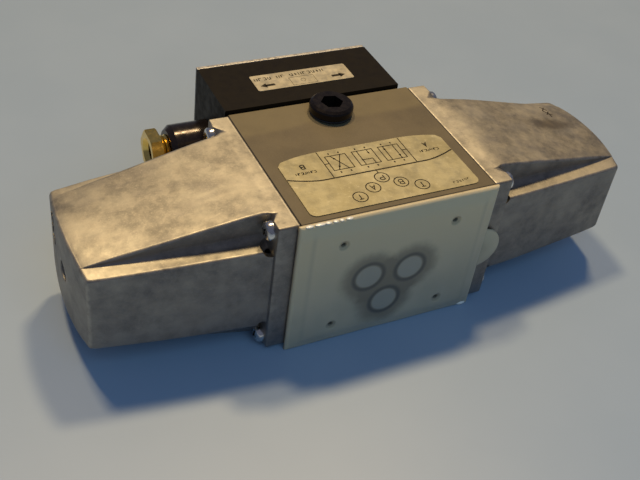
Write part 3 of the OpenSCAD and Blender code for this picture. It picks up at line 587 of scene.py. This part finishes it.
def loft(rings, closed=False):
    """Quads between rings of equal length; closed joins the last ring to the first."""
    size = len(rings[0])
    verts = [p for ring in rings for p in ring]
    steps = len(rings) if closed else len(rings) - 1
    faces = []
    for i in range(steps):
        a, b = i * size, (i + 1) % len(rings) * size
        for k in range(size):
            n = (k + 1) % size
            faces.append((a + k, a + n, b + n, b + k))
    return verts, faces


def capped_loft(rings):
    """A loft whose first and last rings are closed with one face each."""
    verts, faces = loft(rings)
    size = len(rings[0])
    return verts, faces + [tuple(range(size)), tuple(reversed(range(len(verts) - size, len(verts))))]


def circle_points(x, y, r, count=40):
    return [(x + r * math.cos(math.tau * k / count), y + r * math.sin(math.tau * k / count))
            for k in range(count)]


def mix(a, b, t):
    return a + (b - a) * t


def smooth_step(t):
    t = min(1.0, max(0.0, t))
    return t * t * (3.0 - 2.0 * t)


# ---------------------------------------- cast solenoid covers

# Along the spool: gasket, flange's outer face, end face and how far that bulges
GASKET_X = COVER_LOW.x
FLANGE_X = 55.8
END_X = 129.5
BULGE = 2.5
# Half sizes about the spool's axis. The tall part and the wide part cross each other, and
# each of their pairs runs from the flange to the end.
FLANGE_Y = (80.0 - AXIS_Y, AXIS_Y - 0.5)
FLANGE_Z = (36.0 - AXIS_Z, AXIS_Z + 31.5)
TALL_Y = (28.3, 22.5)
TALL_TOP = (FLANGE_Z[0], 19.1)
TALL_BOTTOM = (FLANGE_Z[1], 19.1)
WIDE_Y = (37.0, 29.3)
WIDE_Z = (21.3, 18.9)
SIDE_CROWN = 0.6
SOFTNESS = 0.06
END_CROWN = 3.0
WALL = 2.9
HOLE_R = 4.5
END_ROUND = 1.5
# Steps round a corner, and along each side between two corners
ARC = 5
CUTS = (2, 2, 8, 2, 2, 12, 2, 2, 8, 2, 2, 12)
STATIONS = [0.027, 0.055] + [k / 14 for k in range(2, 14)] + [0.965]
END_STEPS = 5
# Rings of the hole and the hollow side, which stay even
INSIDE_RINGS = 12


def outline(corners):
    """Closed outline with twelve rounded corners, as (y, z, corner number, mark)."""
    points = []
    count = len(corners)
    spans = []
    for i, (y, z, wanted, mark) in enumerate(corners):
        before, after = corners[i - 1], corners[(i + 1) % count]
        into, out = Vector((y - before[0], z - before[1])), Vector((after[0] - y, after[1] - z))
        radius = min(wanted, into.length * 0.42, out.length * 0.42)
        into.normalize()
        out.normalize()
        turn = math.acos(max(-1.0, min(1.0, into.dot(out))))
        corner = Vector((y, z))
        spans.append((corner - into * radius, corner, corner + out * radius,
                      math.cos(turn / 2), mark))
    for i, (start, corner, end, weight, mark) in enumerate(spans):
        for k in range(ARC + 1):
            t = k / ARC
            a, b, c = (1 - t) ** 2, 2 * weight * t * (1 - t), t * t
            p = (start * a + corner * b + end * c) / (a + b + c)
            points.append((p.x, p.y, i, mark * math.sin(math.pi * t)))
        stop = spans[(i + 1) % count][0]
        for k in range(1, CUTS[i]):
            p = end.lerp(stop, k / CUTS[i])
            points.append((p.x, p.y, i + 0.5, 0.0))
    return points


def soft_start(t):
    """t, but leaving 0 gently."""
    return (math.hypot(t, SOFTNESS) - SOFTNESS) / (math.hypot(1.0, SOFTNESS) - SOFTNESS)


def cover_section(t, inset=0.0):
    """Outline of the cover at t = 0 (flange) to 1 (end), drawn in by an inset."""
    fall = soft_start(t)
    crown = SIDE_CROWN * 4 * t * (1 - t)
    ty, wy = mix(*TALL_Y, t) + crown - inset, mix(*WIDE_Y, t) + crown - inset
    top, low = mix(*TALL_TOP, fall) + crown - inset, mix(*TALL_BOTTOM, fall) + crown - inset
    wz = mix(*WIDE_Z, t) + crown * 0.5 - inset
    corners = [(ty, top, 2.2, 1), (ty, wz, 3.2, 0), (wy, wz, 1.2, 1),
               (wy, -wz, 1.2, 1), (ty, -wz, 3.2, 0), (ty, -low, 2.2, 1),
               (-ty, -low, 1.2, 1), (-ty, -wz, 3.2, 0), (-wy, -wz, 1.2, 1),
               (-wy, wz, 1.2, 1), (-ty, wz, 3.2, 0), (-ty, top, 1.2, 1)]
    swell = END_CROWN * t * t
    return [(y, z + math.copysign(swell * max(0.0, 1 - (y / wy) ** 2) * (z / top) ** 2, z), i, m)
            for y, z, i, m in outline(corners)]


def flange_section(drop=0.0, gasket_side=False):
    """The flange's rectangle with the same number of points as the cover's sections."""
    ty, wz = TALL_Y[0], WIDE_Z[0]
    yb, yf = FLANGE_Y[0] - drop, FLANGE_Y[1] - drop
    top, low = FLANGE_Z
    high, deep = top - drop, low - drop
    if gasket_side:
        top, low = high, deep
    return outline([(ty, top, 1.2, 0), (yb, high, 1.0, 0), (yb, wz, 1.0, 0),
                    (yb, -wz, 1.0, 0), (yb, -deep, 1.0, 0), (ty, -low, 1.2, 0),
                    (-ty, -low, 1.2, 0), (-yf, -deep, 1.0, 0), (-yf, -wz, 1.0, 0),
                    (-yf, wz, 1.0, 0), (-yf, high, 1.0, 0), (-ty, top, 1.2, 0)])


def end_swell(y):
    """How far the end face stands out at a distance y from the axis."""
    return BULGE * (1 - (y / WIDE_Y[1]) ** 2)


def on_flat(i):
    """Does this part of an outline run along the flush top or bottom?"""
    return i in (5, 5.5, 6, 11, 11.5, 0)


def flushness(z):
    """1 at the flange's very top or bottom, 0 a little way in."""
    edge = FLANGE_Z[0] if z > 0 else FLANGE_Z[1]
    return smooth_step((abs(z) - edge + 1.3) / 1.1)


def cover_rings(side):
    """Rings of the whole shell: outside, end face, hole, then back along the inside, with a mark per
    point that brightens the edges, for wear and as a painted highlight.
    """
    rings, marks = [], []

    def add(points, x_of, mark=None):
        rings.append([(side * x_of(y, z, i), AXIS_Y + y, AXIS_Z + z) for y, z, i, _ in points])
        marks.append([m if mark is None else mark for *_, m in points])

    def flat(x):
        return lambda y, z, i: x

    def end_face(back=0.0):
        return lambda y, z, i: END_X + end_swell(y) - back

    def split(x, x_flat):
        return lambda y, z, i: mix(x, x_flat, flushness(z)) if on_flat(i) else x

    add(flange_section(0.35, True), flat(GASKET_X), 1.0)
    for depth, mark in ((0.35, 1.0), (0.8, 1.0), (1.2, 0.0), (2.5, 0.0)):
        add(flange_section(), flat(GASKET_X + depth), mark)
    add(flange_section(), split(FLANGE_X - 0.5, FLANGE_X - 4.5), 0.4)
    add(flange_section(0.5), split(FLANGE_X, FLANGE_X - 3.0), 0.4)
    add(cover_section(0.0, -0.9), split(FLANGE_X, FLANGE_X - 1.5), 0.0)
    add(cover_section(0.0, -0.3), split(FLANGE_X + 0.4, FLANGE_X + 0.1), 0.0)
    for ring in rings[-2:]:
        for k, (x, y, z) in enumerate(ring):
            ring[k] = (x, y, max(AXIS_Z - FLANGE_Z[1], min(AXIS_Z + FLANGE_Z[0], z)))
    length = END_X - FLANGE_X
    for t in STATIONS:
        add(cover_section(t), lambda y, z, i, t=t: FLANGE_X + t * (length + end_swell(y)))
    for k in range(END_STEPS + 1):
        angle = math.pi / 2 * k / END_STEPS
        inset = END_ROUND * (1 - math.cos(angle))
        back = END_ROUND * (1 - math.sin(angle))
        add(cover_section(1.0, inset), end_face(back),
            math.sin(angle * 2) * 0.9 if k < END_STEPS else 0.0)
    rim = cover_section(1.0, END_ROUND)
    circle = [(HOLE_R * y / math.hypot(y, z), HOLE_R * z / math.hypot(y, z), i, 0.0)
              for y, z, i, _ in rim]

    def between(one, other, t):
        return [(mix(a[0], b[0], t), mix(a[1], b[1], t), a[2], 0.0) for a, b in zip(one, other)]

    for t in (0.25, 0.5, 0.75, 0.92):
        add(between(rim, circle, t), end_face())
    add([(y * 1.09, z * 1.09, i, 0.0) for y, z, i, _ in circle], end_face(), 0.6)
    add(circle, flat(END_X + BULGE - 0.45), 0.6)
    inner_x = END_X - WALL
    add(circle, flat(inner_x), 0.0)
    inner = cover_section(1.0, WALL + 0.3)
    add(between(circle, inner, 0.4), flat(inner_x))
    add(inner, flat(inner_x), 0.0)
    for t in (0.75, 0.5, 0.25, 0.0):
        add(cover_section(t, WALL), flat(mix(FLANGE_X, inner_x, t)), 0.0)
    add(cover_section(0.0, WALL), flat(GASKET_X), 0.0)
    return rings, marks


def cast_surface(point):
    """Slight unevenness of the casting, none on its machined flange."""
    x, y, z = point
    fade = smooth_step((abs(x) - FLANGE_X) / 4.0)
    wave = 0.2 * noise.noise(Vector(point) / 17.0) + 0.05 * noise.noise(Vector(point) / 5.0)
    away = Vector((0.0, y - AXIS_Y, z - AXIS_Z)).normalized() * (wave - 0.1) * fade
    return (x, y + away.y, z + away.z)


RELIEF_R, RELIEF_DEPTH = 5.4, 4.4
RELIEF_Y, RELIEF_Z = 34.5, 23.0
RELIEF_STEPS, RELIEF_AROUND = 8, 40


def relief_cutter(side, dy, dz):
    """A bowl that cuts one round pocket at the foot of the cover, beside a screw."""
    rings = []
    for part in range(RELIEF_STEPS):
        turn = math.pi / 2 * part / RELIEF_STEPS
        x = FLANGE_X + 0.02 + RELIEF_DEPTH * math.sin(turn)
        circle = circle_points(AXIS_Y + dy * RELIEF_Y, AXIS_Z + dz * RELIEF_Z,
                               RELIEF_R * math.cos(turn) ** 0.6, RELIEF_AROUND)
        rings.append([(side * x, y, z) for y, z in circle])
    verts, faces = capped_loft(rings)
    return place_object("cutter", build_mesh("cutter", verts, faces, smooth=False))


def carve(piece, cutters):
    """Cuts closed cutters out of a piece and removes them."""
    for cutter in cutters:
        cut = piece.modifiers.new("cut", "BOOLEAN")
        cut.operation = "DIFFERENCE"
        cut.solver = "EXACT"
        cut.object = cutter
    bpy.context.view_layer.update()
    graph = bpy.context.evaluated_depsgraph_get()
    mesh = bpy.data.meshes.new_from_object(piece.evaluated_get(graph))
    piece.modifiers.clear()
    piece.data = mesh
    for cutter in cutters:
        bpy.data.objects.remove(cutter)


def make_cover(letter, side):
    """The cast cover of one solenoid."""
    rings, marks = cover_rings(side)
    outside = len(rings) - INSIDE_RINGS
    rings = [[cast_surface(p) for p in ring] if i < outside else ring
             for i, ring in enumerate(rings)]
    verts, faces = loft(rings, closed=True)
    name = "cast_cover_" + letter
    mesh = build_mesh(name, verts, faces, edge_wear_and_highlight=[m for ring in marks for m in ring])
    piece = place_object(name, mesh)
    mesh.materials.append(material("cast_aluminium"))
    carve(piece, [relief_cutter(side, dy, dz) for dy in (-1, 1) for dz in (-1, 1)])
    piece.data.name = name
    piece.data.set_sharp_from_angle(angle=math.radians(50))
    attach(piece, "root")
    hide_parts("solenoid_cover_" + letter)
    normals = piece.modifiers.new("normals", "WEIGHTED_NORMAL")
    normals.keep_sharp = True
    return piece


# Raised foundry strokes: centre y, z of each mark and its bars as y0, z0, y1, z1
MARK_STROKES = (
    (56.2, 17.0, ((-1.4, -1.9, -0.7, 1.9), (0.7, -1.9, 1.4, 1.9), (-0.75, -0.35, 0.75, 0.35))),
    (55.9, 11.6, ((-1.4, 1.2, 1.4, 1.9), (-0.35, -1.9, 0.35, 1.25))),
    (55.2, 6.0, ((-1.4, -1.9, -0.7, 1.9), (-0.75, 1.2, 1.4, 1.9), (-0.75, -1.9, 1.4, -1.2))),
)
# How far the marks stand out of the end face, and reach into it
MARK_HEIGHT, MARK_ROOT = 0.35, 0.5


def casting_marks():
    """A short row of raised foundry strokes on the end face over solenoid B."""
    shapes = []
    for y, z, strokes in MARK_STROKES:
        x = -(END_X + end_swell(y - AXIS_Y))
        for y0, z0, y1, z1 in strokes:
            corners = bar(y + y0, z + z0, y + y1, z + z1)
            shapes.append(capped_loft([[(x + d, *corner) for corner in corners]
                                       for d in (-MARK_HEIGHT, MARK_ROOT)]))
    verts, faces = joined(shapes)
    make_piece("casting_marks", verts, faces, "cast_aluminium", smooth=False)


# ---------------------------------------- printed legends

INK_HEIGHT = 0.05
# Keeps the outer point of a sharp bend in a printed line short
SHARPEST = 0.35


def ribbon(points, width, z, closed=False):
    """A flat printed line of a given width along points (x, y), as verts and faces."""
    places = [Vector(p) for p in points]
    ways = [(b - a).normalized() for a, b in zip(places, places[1:] + places[:1])]
    if not closed:
        ways[-1] = ways[-2]
    top = z + INK_HEIGHT
    rings = []
    for i, place in enumerate(places):
        into = ways[i - 1] if closed or i > 0 else ways[0]
        n_in, n_out = [Vector((-way.y, way.x)) for way in (into, ways[i])]
        middle = (n_in + n_out).normalized()
        reach = middle * (width / 2 / max(SHARPEST, middle.dot(n_in)))
        left, right = place + reach, place - reach
        rings.append([(left.x, left.y, z), (right.x, right.y, z), (right.x, right.y, top),
                      (left.x, left.y, top)])
    return loft(rings, closed=True) if closed else capped_loft(rings)


def patch(points, z):
    """A flat printed patch with the given outline."""
    return capped_loft([[(x, y, height) for x, y in points] for height in (z, z + INK_HEIGHT)])


def joined(shapes):
    """Several shapes as one list of verts and faces."""
    verts, faces = [], []
    for more_verts, more_faces in shapes:
        start = len(verts)
        verts += more_verts
        faces += [tuple(i + start for i in face) for face in more_faces]
    return verts, faces


def bar(x0, y0, x1, y1):
    """Corners of a rectangle."""
    return [(x0, y0), (x1, y0), (x1, y1), (x0, y1)]


def arrow_head(tip, direction, length, half):
    """Triangle that points along direction."""
    d = Vector(direction).normalized()
    n = Vector((-d.y, d.x))
    back = Vector(tip) - d * length
    return [tuple(tip), tuple(back + n * half), tuple(back - n * half)]


# Strokes of the port letters on a grid 2 wide and 3 high
LETTERS = {
    "T": [[(0, 3), (2, 3)], [(1, 3), (1, 0)]],
    "P": [[(0, 0), (0, 3), (1.5, 3), (2, 2.6), (2, 1.9), (1.5, 1.5), (0, 1.5)]],
    "A": [[(0, 0), (1, 3), (2, 0)], [(0.4, 1.1), (1.6, 1.1)]],
    "B": [[(0, 0), (0, 3), (1.4, 3), (1.9, 2.6), (1.9, 2.0), (1.4, 1.6), (0, 1.6)],
          [(1.4, 1.6), (2, 1.1), (2, 0.5), (1.5, 0), (0, 0)]],
}
# Strokes of meaningless marks that stand in for words, on the same grid
BLANKS = ([[(0, 0), (0, 3)], [(2, 0), (2, 3)]], [[(2, 3), (0, 3), (0, 0), (2, 0)]],
          [[(0, 1.5), (2, 1.5)], [(1, 0), (1, 3)]], [[(0, 0), (2, 0), (2, 3)]],
          [[(0, 0), (0, 3), (2, 3)], [(2, 2), (2, 0)]])
THIN, THICK = 0.42, 0.72


class Print:
    """Flat printed shapes at one height, gathered into one piece."""

    def __init__(self, z):
        self.z = z
        self.shapes = []

    def line(self, points, width=THIN, closed=False):
        self.shapes.append(ribbon(points, width, self.z, closed))

    def fill(self, points):
        self.shapes.append(patch(points, self.z))

    def sign(self, strokes, x, y, height, width):
        """Strokes of a sign centred on x, y and read from the back of the valve."""
        unit = height / 3.0
        for stroke in strokes:
            self.line([(x - (u - 1.0) * unit, y - (v - 1.5) * unit) for u, v in stroke], width)

    def blank(self, number, x, y, height, width):
        """One mark of a row that only looks like print."""
        self.sign(BLANKS[number * 3 % len(BLANKS)], x, y, height, width)

    def finish(self, name, slot):
        verts, faces = joined(self.shapes)
        make_piece(name, verts, faces, slot, look=print_ink(), smooth=False)


def valve_symbol(ink, line_end):
    """Three boxes with their ports, flow paths and arrows, and lines to both coils."""
    low, high, box_half, port = 28.7, 38.7, 4.9, 2.4
    tick_ys, coil_line_y = (40.3, 27.0), 33.9
    left, mid, right = middles = (-13.1, -0.1, 12.9)
    for x in middles:
        ink.line(bar(x - box_half, low, x + box_half, high), closed=True)
        for y in tick_ys:
            for dx in (-port, port):
                ink.fill(bar(x + dx - 0.32, y - 0.5, x + dx + 0.32, y + 0.5))
    for reach in (-port, port):
        ink.line([(left + reach, high), (left - reach, low)])
    for y, way in ((low + 1.0, low - high), (high - 1.0, high - low)):
        ink.fill(arrow_head((left - port + 0.5, y), (-2 * port, way), 1.7, 0.6))
    joint_y = 32.2
    ink.line([(mid - port, high), (mid - port, low)])
    ink.line([(mid - port, joint_y), (mid + port, joint_y), (mid + port, low)])
    ink.fill(circle_points(mid - port, joint_y, 0.45, 12))
    ink.line([(mid + port, high), (mid + port, 36.2)])
    ink.fill(arrow_head((mid + port, 35.2), (0, -1), 1.5, 0.55))
    for x, tip, way in ((right - port, high - 0.8, 1), (right + port, low + 1.0, -1)):
        ink.line([(x, low), (x, high)])
        ink.fill(arrow_head((x, tip), (0, way), 1.7, 0.6))
    for x, end in ((left - box_half, -line_end), (right + box_half, line_end)):
        ink.line([(x, coil_line_y), (end, coil_line_y)])


def nameplate_print():
    """The valve symbol, port circles, coil letters and dividing lines."""
    ink = Print(PLATE_HIGH.z)
    half = PLATE_HIGH.x - 0.1
    line_y = 24.0
    flat_half = 20.2
    parts = 24
    sweep = []
    for k in range(-parts, parts + 1):
        x = half * k / parts
        sweep.append((x, line_y + max(0.0, (abs(x) - 25.0) / 15.3) ** 1.6 * 4.2))
    ink.line(sweep, THICK)
    for x in (-flat_half, flat_half):
        ink.line([(x, line_y), (x, PLATE_HIGH.y - 0.3)])
    valve_symbol(ink, flat_half)
    for name, x, y in (("P", -0.4, 18.6), ("A", -7.2, 13.5), ("B", 6.3, 13.5),
                       ("T", -15.4, 9.3), ("T", 14.3, 9.3)):
        ink.line(circle_points(x, y, 3.2), 0.46, closed=True)
        ink.sign(LETTERS[name], x, y, 3.0, 0.45)
    ink.line([(-0.4, line_y), (-0.4, 21.8)])
    for name, x in (("B", -30.3), ("A", 30.1)):
        ink.sign(LETTERS[name], x, 34.8, 2.7, 0.55)
        for k in range(8):
            ink.blank(k, x - 4.3 + k * 1.2, 30.6, 1.3, 0.3)
    for k in range(6):
        ink.blank(k + 1, 28.6 + k * 1.5, 6.3 + k * 0.18, 1.1, 0.26)
    ink.finish("nameplate_print", "plate_foil")


def label_print():
    """Two arrows, a centre frame and a row of blank marks on the box label."""
    ink = Print(LABEL_HIGH.z)
    for side, x in ((-1, -20.0), (1, 17.0)):
        near, far = sorted((x - side * 3.6, x + side * 1.2))
        ink.fill(bar(near, 96.0, far, 97.6))
        ink.fill(arrow_head((x + side * 3.6, 96.8), (side, 0), 3.0, 1.8))
    ink.line(bar(-7.8, 93.9, 4.8, 100.4), 0.16, closed=True)
    ink.line(circle_points(-1.5, 97.2, 1.3, 6), 0.14, closed=True)
    gaps = (4, 7)
    for k in range(16):
        if k not in gaps:
            x = -23.9 + k * 2.3
            ink.blank(k, x, 102.8 + 0.02 * x, 1.9, 0.42)
    ink.finish("label_print", "label_foil")


# Scratched strokes near the end of cover A's top, as their ends (x, y)
SCRATCHES = (
    ((113.6, 52.0), (116.6, 55.0)), ((116.8, 51.5), (113.4, 55.8)),
    ((113.8, 56.0), (116.6, 59.0)), ((115.2, 49.8), (115.3, 53.4)),
    ((116.8, 56.2), (114.4, 59.6)),
)
SCRATCH_WIDTH = 0.55
SCRATCH_PARTS = 6


def scratches_on(cover):
    """Dark scratched strokes that follow the curved top of a cover."""
    bpy.context.view_layer.update()

    def top(x, y):
        hit, place, *_ = cover.ray_cast((x * MM, y * MM, COVER_HIGH.z * MM + 0.01), (0, 0, -1))
        return place.z / MM if hit else COVER_HIGH.z

    strokes = [[Vector(start).lerp(Vector(end), k / SCRATCH_PARTS) for k in range(SCRATCH_PARTS + 1)]
               for start, end in SCRATCHES]
    verts, faces = joined([ribbon(stroke, SCRATCH_WIDTH, -0.01) for stroke in strokes])
    verts = [(x, y, z + top(x, y)) for x, y, z in verts]
    make_piece("cover_scratches", verts, faces, "cast_aluminium", look=print_ink(), smooth=False)


# ---------------------------------------- shipping plate

SLOPE = 7.0
RIM_Y, FRONT_Y, FLAT_Y = -1.8, SHIP_LOW.y, -0.05
RIM_DROP, RIM_ROUND = 0.9, 1.2
WAVE, WAVE_SIZE = 0.1, 16.0
GRID_STEP = 1.6
SHIP_HALF = 47.5
BOLT_X, BOLT_Z = 27.0, 23.0
RECESS_Y = -0.75
LIP = 3.0
DISH_R, DISH_DEPTH = 2.8, 0.6
PIT_R, PIT_DEPTH = 1.3, 1.4
FOLD_IN = 6.8


def edge_distance(x, z):
    """Distance from the plate's nearest edge."""
    return min(x + SHIP_HALF, SHIP_HALF - x, z - SHIP_LOW.z, SHIP_HIGH.z - z)


def dimple_distance(x, z):
    """Distance from the nearest dimple's centre."""
    return math.hypot(abs(x) - BOLT_X, abs(z) - BOLT_Z)


def plate_height(x, z):
    """Front surface of the shipping plate at (x, z): rim, slope, flat middle and dimples."""
    edge = edge_distance(x, z)
    y = mix(RIM_Y, FRONT_Y, smooth_step(edge / SLOPE) * 0.35 + 0.65 * min(1.0, edge / SLOPE))
    y += RIM_DROP * (max(0.0, RIM_ROUND - edge) / RIM_ROUND) ** 2.2
    y += WAVE * noise.noise(Vector((x / WAVE_SIZE, z / WAVE_SIZE, 0.0)))
    y = max(y, FRONT_Y)
    away = dimple_distance(x, z)
    y += DISH_DEPTH * smooth_step((DISH_R - away) / 1.2)
    return y + PIT_DEPTH * smooth_step((PIT_R - away) / 0.5)


def plate_tone(x, z):
    """Painted light attributes of the plate at (x, z): shade along the crease line, a highlight on the
    rim and top band, shade in the dimple pits.
    """
    edge = edge_distance(x, z)
    side = min(x + SHIP_HALF, SHIP_HALF - x)
    fold_shade = max(0.0, 1.0 - abs(side - FOLD_IN) / 0.9) * smooth_step((edge - 3.0) / 4.0)
    rim = max(smooth_step((2.0 - edge) / 1.6), smooth_step((z - SHIP_HIGH.z + 7.5) / 2.5) * 0.7)
    away = dimple_distance(x, z)
    pit_shade = max(smooth_step((PIT_R + 0.2 - away) / 0.5) * 0.85, smooth_step((DISH_R - away) / 0.8) * 0.3)
    return fold_shade, rim, pit_shade


def grid_stops(low, high, extra):
    """Even stops between two ends with closer ones round the given places."""
    count = round((high - low) / GRID_STEP)
    stops = [low + (high - low) * k / count for k in range(count + 1)]
    for d in (0.3, 0.7, RIM_ROUND):
        stops += [low + d, high - d]
    for place in extra:
        stops += [place + d * 0.3 for d in range(-10, 11)]
    return sorted(set(round(s, 3) for s in stops if low <= s <= high))


def make_shipping_plate():
    """The moulded plate, thick as its CAD solid, with rounded rim, dimples and pull tab."""
    xs = grid_stops(-SHIP_HALF, SHIP_HALF, (-BOLT_X, BOLT_X))
    zs = grid_stops(SHIP_LOW.z, SHIP_HIGH.z, (-BOLT_Z, BOLT_Z))
    verts = [(x, plate_height(x, z), z) for x in xs for z in zs]
    verts += [(x, RECESS_Y if edge_distance(x, z) > LIP else FLAT_Y, z) for x in xs for z in zs]
    nx, nz = len(xs), len(zs)
    half = nx * nz
    faces = []
    for i in range(nx - 1):
        for j in range(nz - 1):
            a, b = i * nz + j, (i + 1) * nz + j
            c, d = b + 1, a + 1
            faces.append((a, b, c, d))
            faces.append((half + d, half + c, half + b, half + a))
    border = [(i, 0) for i in range(nx - 1)] + [(nx - 1, j) for j in range(nz - 1)]
    border += [(i, nz - 1) for i in range(nx - 1, 0, -1)] + [(0, j) for j in range(nz - 1, 0, -1)]
    for k, (i, j) in enumerate(border):
        m, n = border[(k + 1) % len(border)]
        a, b = i * nz + j, m * nz + n
        faces.append((a, half + a, half + b, b))
    plate = make_piece("shipping_plate", verts, faces, "shipping_plastic", "shipping_plate")
    # Painted shade and highlight, kept per point for the plastic's colour.
    layers = [plate.data.attributes.new(name, "FLOAT", "POINT") for name in ("fold_shade", "rim", "pit_shade")]
    for vert in plate.data.vertices:
        for layer, value in zip(layers, plate_tone(vert.co.x / MM, vert.co.z / MM)):
            layer.data[vert.index].value = value
    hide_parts("shipping_cover")
    plate.modifiers.new("normals", "WEIGHTED_NORMAL")
    make_pull_tab()
    make_flash()


def bead(place, size, rings=7, around=14):
    """A closed lump of melted plastic."""
    x, y, z = place
    reach_x, reach_y, reach_z = size
    verts, faces = loft([[(x + reach_x * math.cos(polar),
                           y + reach_y * math.sin(polar) * math.cos(math.tau * k / around),
                           z + reach_z * math.sin(polar) * math.sin(math.tau * k / around))
                          for k in range(around)]
                         for polar in [math.pi * i / rings for i in range(1, rings)]])
    first, last = len(verts), len(verts) + 1
    verts += [(x + reach_x, y, z), (x - reach_x, y, z)]
    start = (rings - 2) * around
    for k in range(around):
        n = (k + 1) % around
        faces += [(first, n, k), (last, start + k, start + n)]
    return verts, faces


def make_flash():
    """Melted beads along the plate's top edge and a torn lump at its lower right corner."""
    top = SHIP_HIGH.z - 0.05
    shapes = [bead((x, RIM_Y + 0.5, top), (reach, 1.0, 0.4))
              for x, reach in ((-43.4, 1.8), (-38.7, 2.4), (-35.1, 1.4), (-31.8, 1.2),
                               (-29.1, 1.0), (-25.6, 1.6))]
    shapes.append(bead((43.6, RIM_Y, SHIP_LOW.z + 1.3), (2.4, 0.9, 1.1)))
    verts, faces = joined(shapes)
    make_piece("plate_flash", verts, faces, "shipping_plastic", "shipping_plate",
               look=material("flash_plastic"))


TAB_X, TAB_Z, TAB_R = 45.3, 0.8, 10.8
TAB_FRONT, TAB_BACK = -1.9, -0.6
TAB_STEPS = 40


def make_pull_tab():
    """Half-round tab on the right-hand edge of the plate, with a rounded rim."""
    profile = [(0.0, TAB_FRONT), (TAB_R - 0.5, TAB_FRONT), (TAB_R - 0.15, TAB_FRONT + 0.15),
               (TAB_R, TAB_FRONT + 0.5), (TAB_R, TAB_BACK - 0.4), (TAB_R - 0.3, TAB_BACK),
               (0.0, TAB_BACK)]
    start = SHIP_HALF - TAB_X - 1.0
    reach = math.acos(start / TAB_R)
    rings = []
    for k in range(TAB_STEPS + 1):
        a = -reach + 2 * reach * k / TAB_STEPS
        rings.append([(TAB_X + max(start, r * math.cos(a)), y, TAB_Z + r * math.sin(a))
                      for r, y in profile])
    verts, faces = capped_loft(rings)
    make_piece("pull_tab", verts, faces, "shipping_plastic", "shipping_plate")


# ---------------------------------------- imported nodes

def soften(node, width_mm, segments=2):
    """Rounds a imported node's edges with modifiers; its mesh stays as it is."""
    piece = NODES[node]
    weld = piece.modifiers.new("weld", "WELD")
    weld.merge_threshold = 1e-6
    bevel = piece.modifiers.new("bevel", "BEVEL")
    bevel.width = width_mm * MM
    bevel.segments = segments
    bevel.limit_method = "ANGLE"
    bevel.angle_limit = math.radians(35)
    bevel.harden_normals = True


def dress_nodes():
    """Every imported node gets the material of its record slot."""
    slots = {row["node"]: row["material_slot"] for row in frame["record"]["subparts"]}
    for name, piece in NODES.items():
        piece.data.materials.clear()
        piece.data.materials.append(material(slots[name]))
    soften("terminal_box", 0.7, 3)
    soften("box_lid", 0.35)
    soften("valve_body", 0.35)


SPRING_WIRE_R = 0.9
SPRING_TURNS = 4.5
SPRING_STEPS, WIRE_AROUND = 150, 10
CLOSED_SHARE = 0.08


def make_spring(letter, side):
    """A centring spring coiled between its seat and the pole piece."""
    low, high = box_mm("centring_spring_" + letter)
    start, end = (low.x, high.x) if side > 0 else (high.x, low.x)
    coil_r = (high.y - low.y) / 2 - SPRING_WIRE_R
    rings = []
    for i in range(SPRING_STEPS + 1):
        share = i / SPRING_STEPS
        turn = math.tau * SPRING_TURNS * share
        t = (share - CLOSED_SHARE) / (1.0 - 2.0 * CLOSED_SHARE)
        rise = 0.3 * smooth_step(t) + 0.7 * min(1.0, max(0.0, t))
        x = mix(start + side * SPRING_WIRE_R, end - side * SPRING_WIRE_R, rise)
        rings.append([(along, AXIS_Y + r * math.cos(turn), AXIS_Z + r * math.sin(turn))
                      for r, along in circle_points(coil_r, x, SPRING_WIRE_R, WIRE_AROUND)])
    verts, faces = capped_loft(rings)
    name = "spring_wire_" + letter
    piece = make_piece(name, verts, faces, "spring_steel", "spool_train")
    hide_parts("centring_spring_" + letter)
    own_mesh(piece)


def make_floor():
    """A plain floor under the valve."""
    size = 3.0
    mesh = bpy.data.meshes.new("floor")
    corners = [(x, y, FLOOR_Z) for x, y in bar(-size, -size, size, size)]
    mesh.from_pydata(corners, [], [(0, 1, 2, 3)])
    mesh.materials.append(floor_stuff())
    place_object("floor", mesh)


make_camera()
make_lights()
make_floor()
dress_nodes()
scratches_on(make_cover("a", 1))
make_cover("b", -1)
casting_marks()
make_spring("a", 1)
make_spring("b", -1)
make_shipping_plate()
nameplate_print()
label_print()
